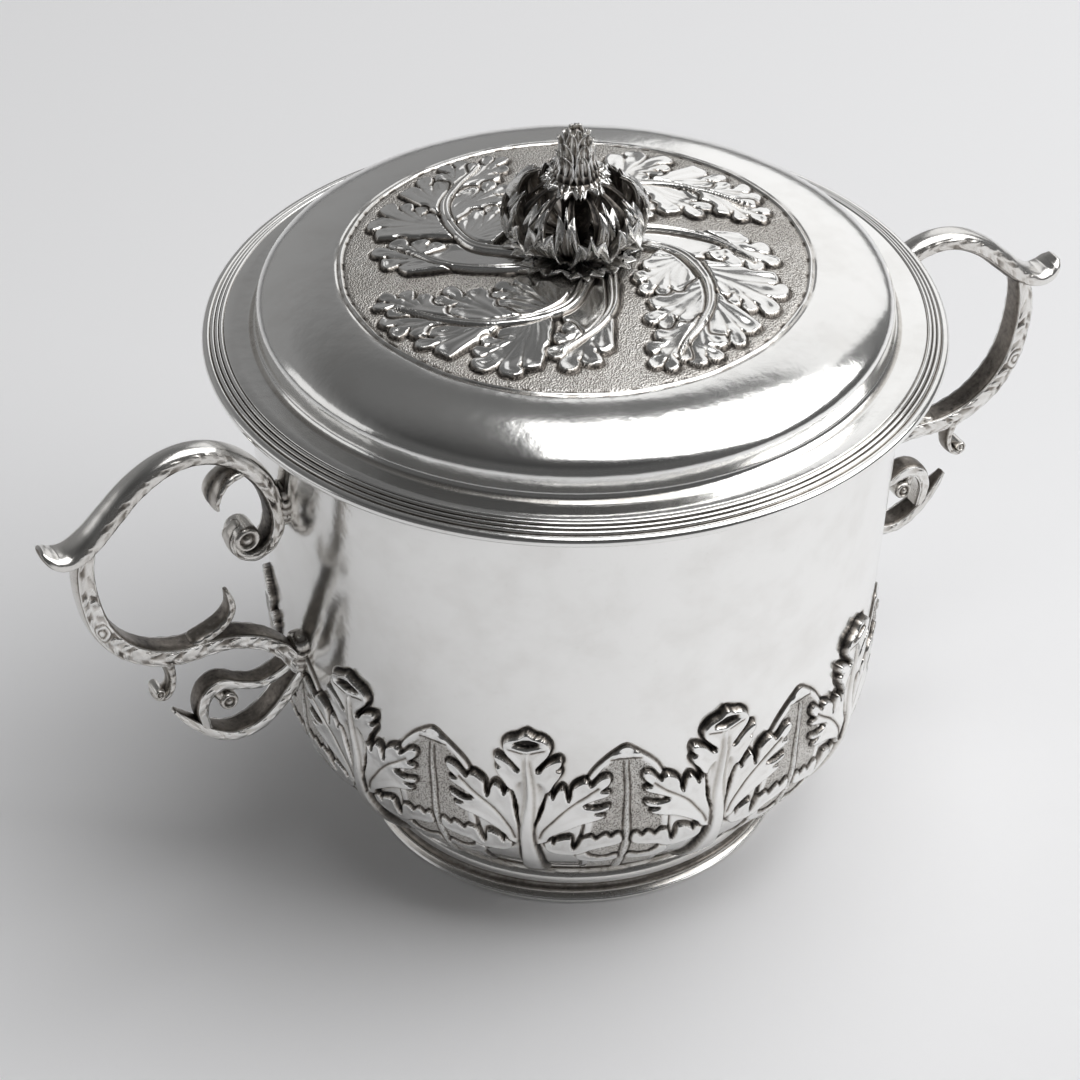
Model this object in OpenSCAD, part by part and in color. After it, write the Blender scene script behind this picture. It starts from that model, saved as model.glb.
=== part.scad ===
// Covered two-handled cup of raised, chased and cast silver.
// The cup stands on a moulded foot ring. Its domed cover drops into the mouth on a bezel, and
// carries an openwork bud finial riveted through its crown. Two cast scroll handles are
// soldered to the wall, along +X and -X. The origin is the centre of the foot, on the table.

/* [Cup] */
// Height of the lip above the table
cup_h = 132; // [122:0.5:145]
// Outer radius where the straight wall rises from the round of the bowl
bowl_r = 70.6; // [66:0.1:76]
// Radius of the round that turns the wall under to the base
bowl_round = 36; // [32:0.5:40]
// Height of the underside of the bowl above the table
base_z = 10; // [9:0.5:12]
// How much wider the straight wall is at the lip than at the bowl
wall_taper = 5.8; // [2:0.1:8]
// How far the lip turns out beyond the straight wall
lip_flare = 1.5; // [0.5:0.1:2.5]
// Height of the stretch that the lip turns out over
lip_h = 16; // [12:0.5:20]
// Thickness of the raised sheet of the cup
cup_wall = 1.1; // [0.8:0.05:1.6]

/* [Foot] */
// Outer radius of the foot ring where it stands
foot_r = 50.7; // [48:0.1:54]
// Radial width of the foot ring
foot_w = 6.4; // [5.8:0.1:8]
// Height of the upright edge at the bottom of the foot
foot_edge_h = 1.5; // [1:0.1:2]
// How far the foot steps in above its upright edge
foot_step = 1; // [0.6:0.1:1.4]
// Radius of the round moulding of the foot
foot_roll = 2.5; // [2:0.1:2.8]
// Height of the flat below the round moulding above the table
foot_roll_z = 3.7; // [3.5:0.1:4]
// Radius of the fine reed under the bowl
foot_reed = 0.7; // [0.5:0.05:0.9]

/* [Leaf frieze] */
// Number of tall leaves round the cup, with as many round leaves between them
frieze_leaves = 10; // [8:2:10]
// Height of the tips of the tall leaves above the top of the round of the bowl
frieze_h = 24.7; // [22:0.1:27]
// How far the tall leaves stand out from the sheet
tall_relief = 1.4; // [0.9:0.1:1.8]
// How far the round leaves behind them stand out from the sheet
back_relief = 0.6; // [0.4:0.1:0.8]

/* [Cover] */
// How far the rim of the cover stands out beyond the lip of the cup
cover_overhang = 7.1; // [6.8:0.1:10]
// How far the upright wall of the cover stands in from the lip of the cup
crown_inset = 5.4; // [4.8:0.1:7]
// Thickness of the raised sheet of the cover
cover_wall = 1; // [0.8:0.05:1.4]
// Height of the flange's upper face above the lip of the cup
flange_t = 1.5; // [1.2:0.1:2]
// Height of the wall of the cover above its flange, up to the shoulder
crown_wall_h = 5; // [4:0.1:8]
// Height of the shoulder of the cover
shoulder_h = 8.8; // [7:0.1:11]
// How soon the shoulder falls away: 2 is an ellipse, and less is flatter
shoulder_fall = 1.6; // [1.4:0.1:2]
// Radius of the chased panel on top of the cover
panel_r = 54; // [48:0.1:56]
// Rise of the chased panel from its edge to its middle
panel_rise = 3.6; // [2.5:0.1:6]
// Number of leaves that swirl over the chased panel
swirl_leaves = 4; // [3:1:4]
// How far the swirling leaves stand up from the panel
swirl_relief = 1.5; // [0.8:0.1:1.8]
// Radius of the hollow round between the flange and the wall of the cover
crown_cove = 2.2; // [1.5:0.1:3]

/* [Cover rim] */
// Radial width of the reeded rim wire
rim_w = 5.2; // [4.5:0.1:6]
// How far the rim wire hangs below the underside of the flange
rim_drop = 2.4; // [1.5:0.1:3]
// Radius of the bead on the outer edge of the rim wire
rim_bead = 1.2; // [0.9:0.05:1.4]
// Number of fine reeds between the bead and the flange
reed_count = 3; // [2:1:4]
// Depth of the bezel below the underside of the flange
bezel_h = 8; // [6:0.5:12]
// Thickness of the bezel
bezel_t = 1; // [0.8:0.1:1.4]

/* [Finial] */
// Largest radius of the openwork bud
bud_r = 14.4; // [12:0.1:16]
// Half the height of the openwork bud
bud_half_h = 9; // [8:0.1:10]
// Thickness of the leaves of the bud
bud_leaf_t = 1.1; // [0.9:0.05:1.4]
// Number of leaves round the bud
bud_leaves = 10; // [8:1:12]
// Thickness of the short leaves of the cup and the collar that clasp the bud
clasp_t = 0.9; // [0.7:0.05:1.2]
// Height of the tips of the short leaves above the middle of the bud
clasp_rise = 3.2; // [0:0.1:4]
// Radius of the collar of hanging leaves at the top of the bud
collar_r = 8.6; // [7.6:0.1:9.6]
// Height of the scaly cone that stands on the collar
cone_h = 12.6; // [11:0.2:16]
// Radius of the cone at its foot
cone_r = 5.4; // [5:0.1:6]
// Number of rows of scales on the cone
cone_rows = 3; // [2:1:4]
// Number of scales in a row
cone_scales = 7; // [5:1:9]
// Radius of the leaf rosette that the bud stands on
rosette_r = 16.6; // [15:0.2:20]
// Number of leaves of the rosette
rosette_leaves = 8; // [6:1:10]
// Thickness of the sheet of the rosette
rosette_t = 0.9; // [0.7:0.05:1.2]
// Rise of the tips of the rosette off the cover
rosette_curl = 2.2; // [1.5:0.1:3]
// Radius of the stem that holds the finial together
stem_r = 1.5; // [1.2:0.1:1.8]
// Thickness of the washer under the crown of the cover
washer_t = 1; // [0.8:0.1:1.5]

/* [Handles] */
// How far the spur of a handle reaches out from the wall of the cup
handle_reach = 58; // [52:0.5:64]
// Height of a handle over its scrolls
handle_h = 86; // [80:0.5:92]
// Height of the lip above the lowest point of a handle
handle_drop = 89; // [85:0.5:94]
// Thickness of the bar of a handle at its heaviest
bar_t = 5.8; // [5:0.1:6.5]

/* [Fits] */
// Gap between the bezel and the mouth of the cup, on the radius
bezel_gap = 0.25; // [0.15:0.05:0.5]
// Gap between the stem and the pieces threaded on it, on the radius
stem_gap = 0.05; // [0.03:0.01:0.1]
// Gap between a handle's end and the wall it is soldered to
solder_gap = 0.03; // [0.02:0.01:0.06]
// Gap between the bud and the leaves that clasp it
leaf_gap = 0.1; // [0.05:0.05:0.2]

/* [Hidden] */
silver = "#c9c8c4";
arc_steps = 14;
fine = 180;

// Cup: centre of the round of the bowl, lean of the straight wall and radius of the lip
round_x = bowl_r - bowl_round;
round_z = base_z + bowl_round;
taper_angle = atan(wall_taper / (cup_h - round_z));
lip_r = bowl_r + wall_taper + lip_flare;

// Outer radius of the straight wall at height z, carried on below the bowl as a guide line
function wall_line(z) = bowl_r + wall_taper * (z - round_z) / (cup_h - round_z);
// How far the lip has turned out at height z
function lip_out(z) = lip_flare * pow(max(0, z - cup_h + lip_h) / lip_h, 2);
// Points of a round, from angle a to angle b
function arc(x, z, r, a, b, n = arc_steps) =
    [for (i = [0:n]) let (t = a + (b - a) * i / n) [x + r * cos(t), z + r * sin(t)]];
function reversed(list) = [for (i = [len(list) - 1:-1:0]) list[i]];
// Outline of the cup from the axis under its base to the top of its lip, set in by the given amount
function cup_side(inset) = concat(
    [[0, base_z + inset]],
    arc(round_x, round_z, bowl_round - inset, -90, -taper_angle),
    [for (i = [0:8]) let (z = cup_h - lip_h * (1 - i / 8)) [wall_line(z) + lip_out(z) - inset, z]]);
// The cup as a filled outline, grown by the given amount, to cut its neighbours with
module cup_block(grow) polygon(concat(cup_side(-grow), [[0, cup_h]]));

// Frieze: outlines of its leaves as [across, up the side of the cup], drawn at a half pitch of
// 21.4 mm and for tips 24.7 mm above the round. They are right halves, from the bottom up
pattern_half = 21.4;
pattern_tip = 24.7;
tall_leaf = [[2.6, -30], [2.2, -18], [1.8, -11], [4, -9.6], [7.6, -5.6], [14, -3.1], [16.2, -1.7], [14.2, -0.6],
    [17.3, 1.4], [12.6, 2], [17.6, 5.7], [15.8, 6.6], [18.2, 10.2], [17.2, 11.5], [13.5, 8.4], [12, 10],
    [9.3, 7.6], [8.6, 4], [7.2, 8.3], [5.3, 5.2], [4.3, 7.2], [7.2, 12.6], [6.2, 13.4], [7.5, 16.4],
    [5.2, 16.2], [2.2, 13.6], [5.3, 18.2], [5.2, 21.2], [3.6, 22.9], [0.6, 24.7]];
round_leaf = [[9.2, -24], [9.6, -8], [9.2, 0], [8.8, 8], [6.6, 13.2], [4.5, 15.6], [0.6, 18.9]];
// Toothed leaf along the bottom, on the right of each stem, with its mirror image on the left
low_leaf = [[3.4, -12.2], [8, -15.6], [11.8, -15.2], [16.4, -12.9], [20.2, -11.4], [20.2, -8], [18, -9.2],
    [16.6, -7.7], [14.6, -9.4], [13, -7.9], [11.4, -9.6], [10.2, -13], [9.6, -8.8], [8.2, -8.1], [5.6, -10.8],
    [4.4, -9.3]];
frieze_pitch = 2 * PI * bowl_r / frieze_leaves;
// Height above the table of a point that lies s up the side of the cup from the top of its round
function side_z(s) = round_z + (s > 0 ? s : bowl_round * sin(s / bowl_round * 180 / PI));
function on_side(points) = [for (p = points)
    [p[0] * frieze_pitch / 2 / pattern_half, side_z(p[1] * frieze_h / pattern_tip)]];
function mirrored(points) = [for (p = reversed(points)) [-p[0], p[1]]];
// Sheet of the cup grown outwards by the given amount, that the leaves are cut out of
module raised_sheet(grow, sink) rotate_extrude($fn = fine)
    polygon(concat(cup_side(-grow), reversed(cup_side(sink))));

// Cover: its radii follow the lip, and its heights stand on it
cover_r = lip_r + cover_overhang;
crown_r = lip_r - crown_inset;
flange_r = cover_r - rim_w;
flange_z = cup_h + flange_t;
shoulder_z = flange_z + crown_wall_h;
panel_z = shoulder_z + shoulder_h;
bezel_r = wall_line(cup_h - bezel_h) + lip_out(cup_h - bezel_h) - cup_wall - bezel_gap;
// Height of the panel at radius x, with a flat seat for the finial in its middle
function panel_at(x) = panel_z + panel_rise * (1 - pow(max(x, seat_r) / panel_r, 2));
// Upper outline of the cover from its middle down to the foot of the shoulder, set in
function crown_side(inset) = concat(
    [for (x = [0, seat_r]) [x, panel_at(x) - inset]],
    [for (i = [2:10]) let (x = panel_r * i / 10) [x, panel_at(x) - inset]],
    [for (i = [1:arc_steps]) let (t = sin(90 * i / arc_steps))
        [panel_r + (crown_r - panel_r - inset) * t,
         shoulder_z + (shoulder_h - inset) * sqrt(1 - pow(t, shoulder_fall))]]);

// Swirling leaf on the panel, seen from above, drawn for a panel of 54 mm: down its outer side from
// the stalk to the tip, and back up its inner side
pattern_panel = 54;
swirl_turn = -27;
swirl_leaf = [[17.5, 4.2], [25, 9.2], [33, 7.4], [38.8, 7.6], [44.2, 3.4], [46, -2.8], [41, -6.2], [35, -5.4],
    [30.4, -6.4], [38, -8.4], [45.2, -9.4], [47.4, -14.6], [44.6, -22.6], [39.4, -22.4], [35.4, -20.8],
    [31.8, -17.8], [35, -24.5], [39.4, -29.6], [35.6, -35.6], [31.4, -32.8], [29.6, -29.2], [32.2, -36],
    [30.6, -41], [26, -43.2], [23.8, -40.8], [20, -45.2], [15.6, -44], [15.2, -38.6], [16.6, -34],
    [23.2, -32.4], [25.2, -29.6], [22.8, -28.6], [19.2, -31.2], [15, -29.6], [15.8, -23], [22, -19.8],
    [27, -16.2], [22.4, -17.8], [18.4, -18.9], [14, -18], [12.6, -13.4], [14.6, -7.6], [19.5, -4.4],
    [22, -3.2], [17, -0.6]];

// Cover rim: the reeds step down evenly from the flange to the bead
bead_x = cover_r - rim_bead;
bead_z = cup_h - rim_drop + rim_bead;
reed_pitch = (bead_x - flange_r) / reed_count;
reed_r = reed_pitch / 2;

// Finial: the washer lies under the crown, and everything else is stacked on the stem above it
stem_hole_r = stem_r + stem_gap;
stem_head_r = stem_r + 1.1;
stem_head_h = 1.2;
washer_r = stem_head_r + 2.4;
seat_r = washer_r + 2;
seat_z = panel_at(0);
washer_z = seat_z - cover_wall - washer_t;
clasp_z = seat_z + rosette_t;
bud_low_z = clasp_z + clasp_t;
bud_foot_r = 5;
bud_mid_z = bud_low_z + bud_half_h * sqrt(1 - pow(bud_foot_r / bud_r, 2));
bud_high_z = bud_mid_z + bud_half_h * sqrt(1 - pow(cone_r / bud_r, 2));
bud_pitch = 2 * PI * bud_r / bud_leaves;
cone_z = bud_high_z + leaf_gap + clasp_t;
stem_in_cone = 5;
stem_top_z = cone_z + stem_in_cone;

// Radius of the bud, grown by the given amount, at height z
function bud_x(z, grow = 0) =
    (bud_r + grow) * sqrt(max(0, 1 - pow((z - bud_mid_z) / (bud_half_h + grow), 2)));
// Height on the upper half of the bud, grown by the given amount, at radius x
function bud_z(x, grow = 0) = bud_mid_z + (bud_half_h + grow) * sqrt(1 - pow(x / (bud_r + grow), 2));
// Outline of the bud between two heights, grown by the given amount
function bud_side(low, high, grow, n = 12) =
    [for (i = [0:n]) let (z = low + (high - low) * i / n) [bud_x(z, grow), z]];
// Right half of an outline, given as [share of half the pitch, height], with its mirror image
function leaf_cut(points) = concat([for (p = points) [p[0] * bud_pitch / 2, p[1]]],
    [for (p = reversed(points)) [-p[0] * bud_pitch / 2, p[1]]]);
// Turns an outline drawn as [along the row, up] to face outwards and repeats it round the axis
module around(count, first, from, depth) for (k = [0:count - 1])
    rotate([0, 0, 360 * (k + first) / count]) rotate([90, 0, 90]) translate([0, 0, from])
        linear_extrude(depth) children();

// Handles: each row of a scroll is a point on its spine, as [out from the wall, up from the
// lowest point, thickness in the plane of the handle, width across it]. The rows are drawn at
// a reach of 58 mm, a height of 86 mm and a heaviest bar of 5.8 mm
pattern_reach = 58;
pattern_h = 86;
pattern_bar = 5.8;
scroll_sides = 12;
link_sides = 14;
handle_z = cup_h - handle_drop;
// Upper scroll: from the eye of its volute, up past the wall, over the top and down to the spur
main_scroll = [[11, 59.5, 2.4, 5], [12.8, 57, 2.8, 6], [12, 53.8, 3, 6.6], [8.6, 52.2, 3.4, 7],
    [4.6, 54.2, 4, 7.2], [2.4, 59, 4.6, 7.4], [2.6, 65, 5, 7.4], [4.8, 71.5, 5.2, 7], [9.2, 77.3, 5.3, 6.6],
    [14.7, 81, 5.4, 6.4], [21.1, 82.3, 5.5, 6.4], [27.7, 81, 5.6, 6.6], [34.3, 77.3, 5.7, 7],
    [40.2, 72.2, 5.8, 7.6], [45.6, 67.4, 5.6, 8.2], [50.6, 64.8, 4.8, 8.8], [54.6, 65.4, 4, 8.4],
    [57, 67.4, 2.6, 6.6]];
// Lower scroll: from under the spur, down and back in to the wall
lower_scroll = [[46.6, 66.5, 4.4, 6], [48, 60, 5.2, 6.4], [48, 52.2, 5.6, 6.8], [46.4, 44.2, 5.8, 7],
    [42.4, 37.4, 5.8, 7], [36.2, 32.6, 5.8, 6.8], [29, 30.4, 5.6, 6.6], [21.8, 30.4, 5.2, 6.4],
    [15.2, 29.6, 4.8, 6.4], [9, 26.8, 4.8, 6.6], [4.4, 22.6, 5, 7], [1.6, 17.6, 5, 7], [-1.5, 14, 4.4, 6.4]];
// Leaf along the bottom, from the lower joint out to its upturned tip
bottom_leaf = [[-1, 17.4, 4, 6.6], [3, 12.6, 4, 6.8], [8, 7, 3.6, 6.8], [13.4, 3.4, 3.4, 6.8],
    [19.4, 2.6, 3.2, 6.4], [25, 5.4, 3, 5.6], [29.4, 9.6, 2.4, 4.2], [32.4, 13.2, 1.2, 2.4]];
// Inner scroll that runs from the lower joint up and over on to the bottom leaf
inner_scroll = [[1, 19.6, 3.2, 5.6], [6, 16.4, 2.8, 5.6], [11.4, 14.9, 2.7, 5.4], [16.4, 16.4, 2.8, 5.4],
    [20.6, 18.4, 3, 5.4], [24.4, 16.8, 3, 5.4], [26.2, 12, 2.8, 5.2], [25.2, 6.4, 2.6, 5]];
// Sprays with round ends: leaf inside the grip, pendant below it, leaf in the upper volute and
// the curl inside the lower one
grip_leaf = [[25, 32, 3.6, 5.6], [21, 33.4, 3.4, 5.6], [17.6, 35.4, 3.4, 5.2], [15.6, 38.6, 2.8, 4.4],
    [16, 43, 1.4, 2.4]];
pendant = [[32.2, 30.6, 3.6, 5], [31.6, 26.2, 2.8, 4.4], [31.2, 22.4, 2.4, 4.2], [32, 19.4, 2.8, 4.6],
    [34, 18.4, 2.6, 4.2]];
volute_leaf = [[9.6, 75.4, 2.6, 6.4], [13.6, 73.2, 2.2, 6.8], [16.2, 69.6, 2, 7], [16, 66.2, 1.8, 6]];
lower_curl = [[19.6, 17.6, 2.2, 4.8], [20.6, 14.8, 2.2, 4.6], [19, 13, 2.6, 4.6]];

// One step of a smooth curve through four rows
function between(a, b, c, d, t) =
    0.5 * (2 * b + (c - a) * t + (2 * a - 5 * b + 4 * c - d) * t * t + (3 * b - a - 3 * c + d) * t * t * t);
function row(list, i) = list[max(0, min(len(list) - 1, i))];
function smoothed(list, steps) = concat(
    [for (i = [0:len(list) - 2], s = [0:steps - 1])
        between(row(list, i - 1), list[i], list[i + 1], row(list, i + 2), s / steps)],
    [list[len(list) - 1]]);
// Where a row of a scroll lies on the right handle, and its thickness and width there
function place(p) = let (z = handle_z + p[1] * handle_h / pattern_h)
    [wall_line(z) + p[0] * handle_reach / pattern_reach, z];
function thick(p) = p[2] * bar_t / pattern_bar;
function wide(p) = p[3] * bar_t / pattern_bar;

// Closed tube of oval section along a scroll
module scroll(rows, steps = 3) {
    path = smoothed(rows, steps);
    last = len(path) - 1;
    ring = [for (i = [0:last]) let (
            here = place(path[i]),
            way = place(path[min(last, i + 1)]) - place(path[max(0, i - 1)]),
            side = [-way[1], way[0]] / norm(way))
        for (k = [0:scroll_sides - 1]) let (a = 360 * k / scroll_sides, off = thick(path[i]) / 2 * cos(a))
            [here[0] + side[0] * off, wide(path[i]) / 2 * sin(a), here[1] + side[1] * off]];
    walls = [for (i = [0:last - 1], k = [0:scroll_sides - 1]) let (
            a = i * scroll_sides + k, b = i * scroll_sides + (k + 1) % scroll_sides)
        each [[a, b, b + scroll_sides], [a, b + scroll_sides, a + scroll_sides]]];
    start = [for (k = [scroll_sides - 1:-1:0]) k];
    end = [for (k = [0:scroll_sides - 1]) last * scroll_sides + k];
    polyhedron(ring, concat(walls, [start, end]));
}

// Flat-sided strap with round ends along a spray
module spray(rows, steps = 2) {
    path = smoothed(rows, steps);
    module link(p) translate([place(p)[0], 0, place(p)[1]]) rotate([90, 0, 0])
        cylinder(d = thick(p), h = wide(p), center = true, $fn = link_sides);
    for (i = [0:len(path) - 2]) hull() {
        link(path[i]);
        link(path[i + 1]);
    }
}

// One casting: four scrolls and four sprays, cut to the wall of the cup
module handle() {
    color(silver) difference() {
        union() {
            for (rows = [main_scroll, lower_scroll, bottom_leaf, inner_scroll]) scroll(rows);
            for (rows = [grip_leaf, pendant, volute_leaf, lower_curl]) spray(rows);
        }
        rotate_extrude($fn = fine) cup_block(solder_gap);
        // The lower joint sits on the round leaf below it
        intersection() {
            rotate_extrude($fn = fine) cup_block(back_relief + solder_gap);
            cylinder(r = cover_r, h = side_z(frieze_h), $fn = fine);
        }
    }
}

module right_handle() handle();

module left_handle() rotate([0, 0, 180]) handle();

// Raised sheet with a round bottom, a straight wall that widens upwards and a turned-out lip, chased
// with tall leaves and round ones behind them
module cup_body() {
    tall = on_side(tall_leaf);
    low = on_side(low_leaf);
    back = on_side(round_leaf);
    color(silver) {
        rotate_extrude($fn = fine) polygon(concat(cup_side(0), reversed(cup_side(cup_wall))));
        intersection() {
            raised_sheet(tall_relief, 0.6 * cup_wall);
            union() {
                around(frieze_leaves, 0.5, foot_r, bowl_round) polygon(concat(tall, mirrored(tall)));
                around(frieze_leaves, 0.5, foot_r, bowl_round) polygon(low);
                around(frieze_leaves, 0.5, foot_r, bowl_round) polygon(mirrored(low));
            }
        }
        intersection() {
            raised_sheet(back_relief, 0.4 * cup_wall);
            around(frieze_leaves, 0, foot_r, bowl_round) polygon(concat(back, mirrored(back)));
        }
    }
}

// Upright edge, chamfer, round moulding and reed, open inside, cut to the round of the bowl
module foot_ring() {
    bore_r = foot_r - foot_w;
    roll_x = foot_r - foot_step - foot_roll;
    reed_z = foot_roll_z + 2 * foot_roll + foot_reed;
    color(silver) rotate_extrude($fn = fine) difference() {
        polygon(concat(
            [[bore_r, 0], [foot_r, 0], [foot_r, foot_edge_h], [foot_r - foot_step, foot_edge_h + foot_step],
             [foot_r - foot_step, foot_roll_z]],
            arc(roll_x, foot_roll_z + foot_roll, foot_roll, -90, 90),
            arc(roll_x, reed_z, foot_reed, -90, 90, 6),
            [[roll_x, round_z], [bore_r, round_z]]));
        cup_block(0);
    }
}

// Raised sheet: flat flange, hollow cove, upright wall, shoulder and gently domed panel, chased with
// swirling leaves that run out from under the rosette
module cover_dome() {
    panel = [for (x = [0, seat_r, for (i = [2:10]) panel_r * i / 10]) [x, panel_at(x)]];
    leaf = panel_r / pattern_panel * reversed(swirl_leaf);
    upper = concat(crown_side(0),
        arc(crown_r + crown_cove, flange_z + crown_cove, crown_cove, 180, 270), [[flange_r, flange_z]]);
    lower = concat(crown_side(cover_wall), [[crown_r - cover_wall, cup_h], [flange_r, cup_h]]);
    color(silver) difference() {
        union() {
            rotate_extrude($fn = fine) polygon(concat(upper, reversed(lower)));
            intersection() {
                rotate_extrude($fn = fine) polygon(concat([for (p = panel) p - [0, 0.5 * cover_wall]],
                    reversed([for (p = panel) p + [0, swirl_relief]])));
                translate([0, 0, shoulder_z]) linear_extrude(2 * shoulder_h) difference() {
                    for (k = [0:swirl_leaves - 1]) rotate(swirl_turn + 360 * k / swirl_leaves) polygon(leaf);
                    circle(r = rosette_r + leaf_gap, $fn = fine);
                }
            }
        }
        translate([0, 0, washer_z]) cylinder(r = stem_hole_r, h = cover_wall + 2 * washer_t, $fn = fine);
    }
}

// Drawn wire with a bead at its edge and fine reeds stepping up to the flange
module cover_rim() {
    low_z = cup_h - rim_drop;
    fall = flange_z - bead_z - rim_bead;
    color(silver) rotate_extrude($fn = fine) {
        polygon([[flange_r, low_z], [bead_x, low_z], [bead_x, bead_z], [flange_r, flange_z - reed_r]]);
        translate([bead_x, bead_z]) circle(rim_bead);
        for (i = [0:reed_count - 1])
            translate([flange_r + reed_pitch * (i + 0.5), flange_z - reed_r - fall * (i + 0.5) / reed_count])
                circle(reed_r);
    }
}

// Plain ring under the flange that drops into the mouth of the cup
module cover_bezel() {
    color(silver) rotate_extrude($fn = fine)
        translate([bezel_r - bezel_t, cup_h - bezel_h]) square([bezel_t, bezel_h]);
}

// Cut sheet of pointed leaves that curl up off the cover
module finial_rosette() {
    reach = rosette_r - seat_r;
    leaf_w = PI * seat_r / rosette_leaves;
    curl = [for (i = [0:6]) [seat_r + reach * i / 6, seat_z + rosette_curl * pow(i / 6, 2)]];
    outline = [[0, 1], [0.42, 1.1], [0.5, 0.7], [0.66, 0.8]];
    color(silver) intersection() {
        rotate_extrude($fn = fine) polygon(concat([[stem_hole_r, seat_z]], curl,
            reversed([for (p = curl) p + [0, rosette_t]]), [[stem_hole_r, seat_z + rosette_t]]));
        translate([0, 0, seat_z - 1]) linear_extrude(rosette_curl + rosette_t + 2) union() {
            circle(r = seat_r + reach / 4, $fn = fine);
            for (k = [0:rosette_leaves - 1]) rotate(360 * (k + 0.5) / rosette_leaves) translate([seat_r, 0])
                polygon(concat([for (p = outline) [p[0] * reach, -p[1] * leaf_w]], [[reach, 0]],
                    reversed([for (p = outline) [p[0] * reach, p[1] * leaf_w]])));
        }
    }
}

// Round cup of short toothed leaves that holds the foot of the bud
module finial_leaf_cup() {
    edge_z = bud_mid_z + clasp_rise;
    tooth_h = edge_z - bud_low_z;
    outer = leaf_gap + clasp_t;
    color(silver) difference() {
        rotate_extrude($fn = fine) polygon(concat(
            [[stem_hole_r, clasp_z], [bud_x(bud_low_z, leaf_gap), clasp_z]],
            bud_side(bud_low_z, edge_z, outer), reversed(bud_side(bud_low_z, edge_z, leaf_gap)),
            [[stem_hole_r, bud_low_z]]));
        around(bud_leaves, 0.5, bud_foot_r, 2 * bud_r) translate([0, edge_z])
            polygon(leaf_cut([[0.04, -0.72 * tooth_h], [0.3, -0.4 * tooth_h], [0.22, -0.32 * tooth_h],
                              [0.58, -0.16 * tooth_h], [0.5, -0.08 * tooth_h], [0.84, 0.1 * tooth_h]]));
    }
}

// Hollow bud of tall toothed leaves that meet at the top, pierced between them
module finial_bud() {
    gap_h = bud_high_z - bud_low_z;
    color(silver) difference() {
        rotate_extrude($fn = fine) polygon(concat(
            [[stem_hole_r, bud_low_z]], bud_side(bud_low_z, bud_high_z, 0),
            [[stem_hole_r, bud_high_z], [stem_hole_r, bud_high_z - bud_leaf_t]],
            reversed(bud_side(bud_low_z + bud_leaf_t, bud_high_z - bud_leaf_t, -bud_leaf_t)),
            [[stem_hole_r, bud_low_z + bud_leaf_t]]));
        around(bud_leaves, 0, bud_foot_r, 2 * bud_r) translate([0, bud_low_z])
            polygon(leaf_cut([[0.02, 0.22 * gap_h], [0.2, 0.4 * gap_h], [0.13, 0.46 * gap_h],
                              [0.4, 0.6 * gap_h], [0.3, 0.66 * gap_h], [0.46, 0.8 * gap_h],
                              [0.06, 0.96 * gap_h]]));
    }
}

// Cap of small hanging leaves that clasps the top of the bud
module finial_collar() {
    outer = leaf_gap + clasp_t;
    edge_z = bud_z(collar_r, leaf_gap);
    fall = cone_z - edge_z;
    color(silver) difference() {
        rotate_extrude($fn = fine) polygon(concat(
            [[stem_hole_r, cone_z], [cone_r, cone_z]],
            [for (i = [1:6]) let (x = cone_r + (collar_r - cone_r) * i / 6) [x, bud_z(x, outer)]],
            [for (i = [6:-1:0]) let (x = cone_r + (collar_r - cone_r) * i / 6) [x, bud_z(x, leaf_gap)]],
            [[cone_r - leaf_gap, bud_high_z], [stem_hole_r, bud_high_z]]));
        around(bud_leaves, 0.5, cone_r, bud_r) translate([0, edge_z])
            polygon(leaf_cut([[0.36, -fall], [0.04, 0.7 * fall]]));
    }
}

// Cone of overlapping rows of pointed scales, each row stepping out over the next, drilled for the stem
module finial_cone() {
    row_h = cone_h / (cone_rows + 0.6);
    scale_t = 0.6;
    notch = 0.15;
    tip_r = 0.9;
    function core_x(z) = tip_r + (cone_r - scale_t - tip_r) * pow(1 - z / cone_h, 0.45);
    color(silver) translate([0, 0, cone_z]) difference() {
        rotate_extrude($fn = fine) polygon(concat([[0, 0], [core_x(0), 0]],
            [for (i = [0:cone_rows - 1]) let (mid = row_h * (i + 0.45), high = row_h * (i + 1))
                each [[core_x(mid) + scale_t, mid], [core_x(high) + scale_t, high], [core_x(high), high]]],
            [[tip_r, cone_h - tip_r], [tip_r / 2, cone_h], [0, cone_h]]));
        for (i = [0:cone_rows - 1]) let (high = row_h * (i + 1), gap = PI * core_x(high) / cone_scales)
            around(cone_scales, i / 2 + 0.25, core_x(high) - notch, cone_r)
                polygon([[0, high - 0.6 * row_h], [0.8 * gap, high + notch], [-0.8 * gap, high + notch]]);
        translate([0, 0, -1]) cylinder(r = stem_hole_r, h = stem_in_cone + stem_gap + 1, $fn = fine);
    }
}

// Rod with a rivet head under the washer
module finial_stem() {
    head_z = washer_z - stem_head_h;
    color(silver) rotate_extrude($fn = fine)
        polygon([[0, head_z], [stem_r, head_z], [stem_head_r, head_z + stem_head_h / 2],
                 [stem_head_r, washer_z], [stem_r, washer_z], [stem_r, stem_top_z], [0, stem_top_z]]);
}

module finial_washer() {
    color(silver) rotate_extrude($fn = fine)
        translate([stem_hole_r, washer_z]) square([washer_r - stem_hole_r, washer_t]);
}

cup_body();
foot_ring();
right_handle();
left_handle();
cover_dome();
cover_rim();
cover_bezel();
finial_rosette();
finial_leaf_cup();
finial_bud();
finial_collar();
finial_cone();
finial_stem();
finial_washer();
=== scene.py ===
"""Looks of the silver caudle cup: chased body and cover, cast handles and openwork finial."""
from math import atan, cos, pi, radians, sin, sqrt

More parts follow.
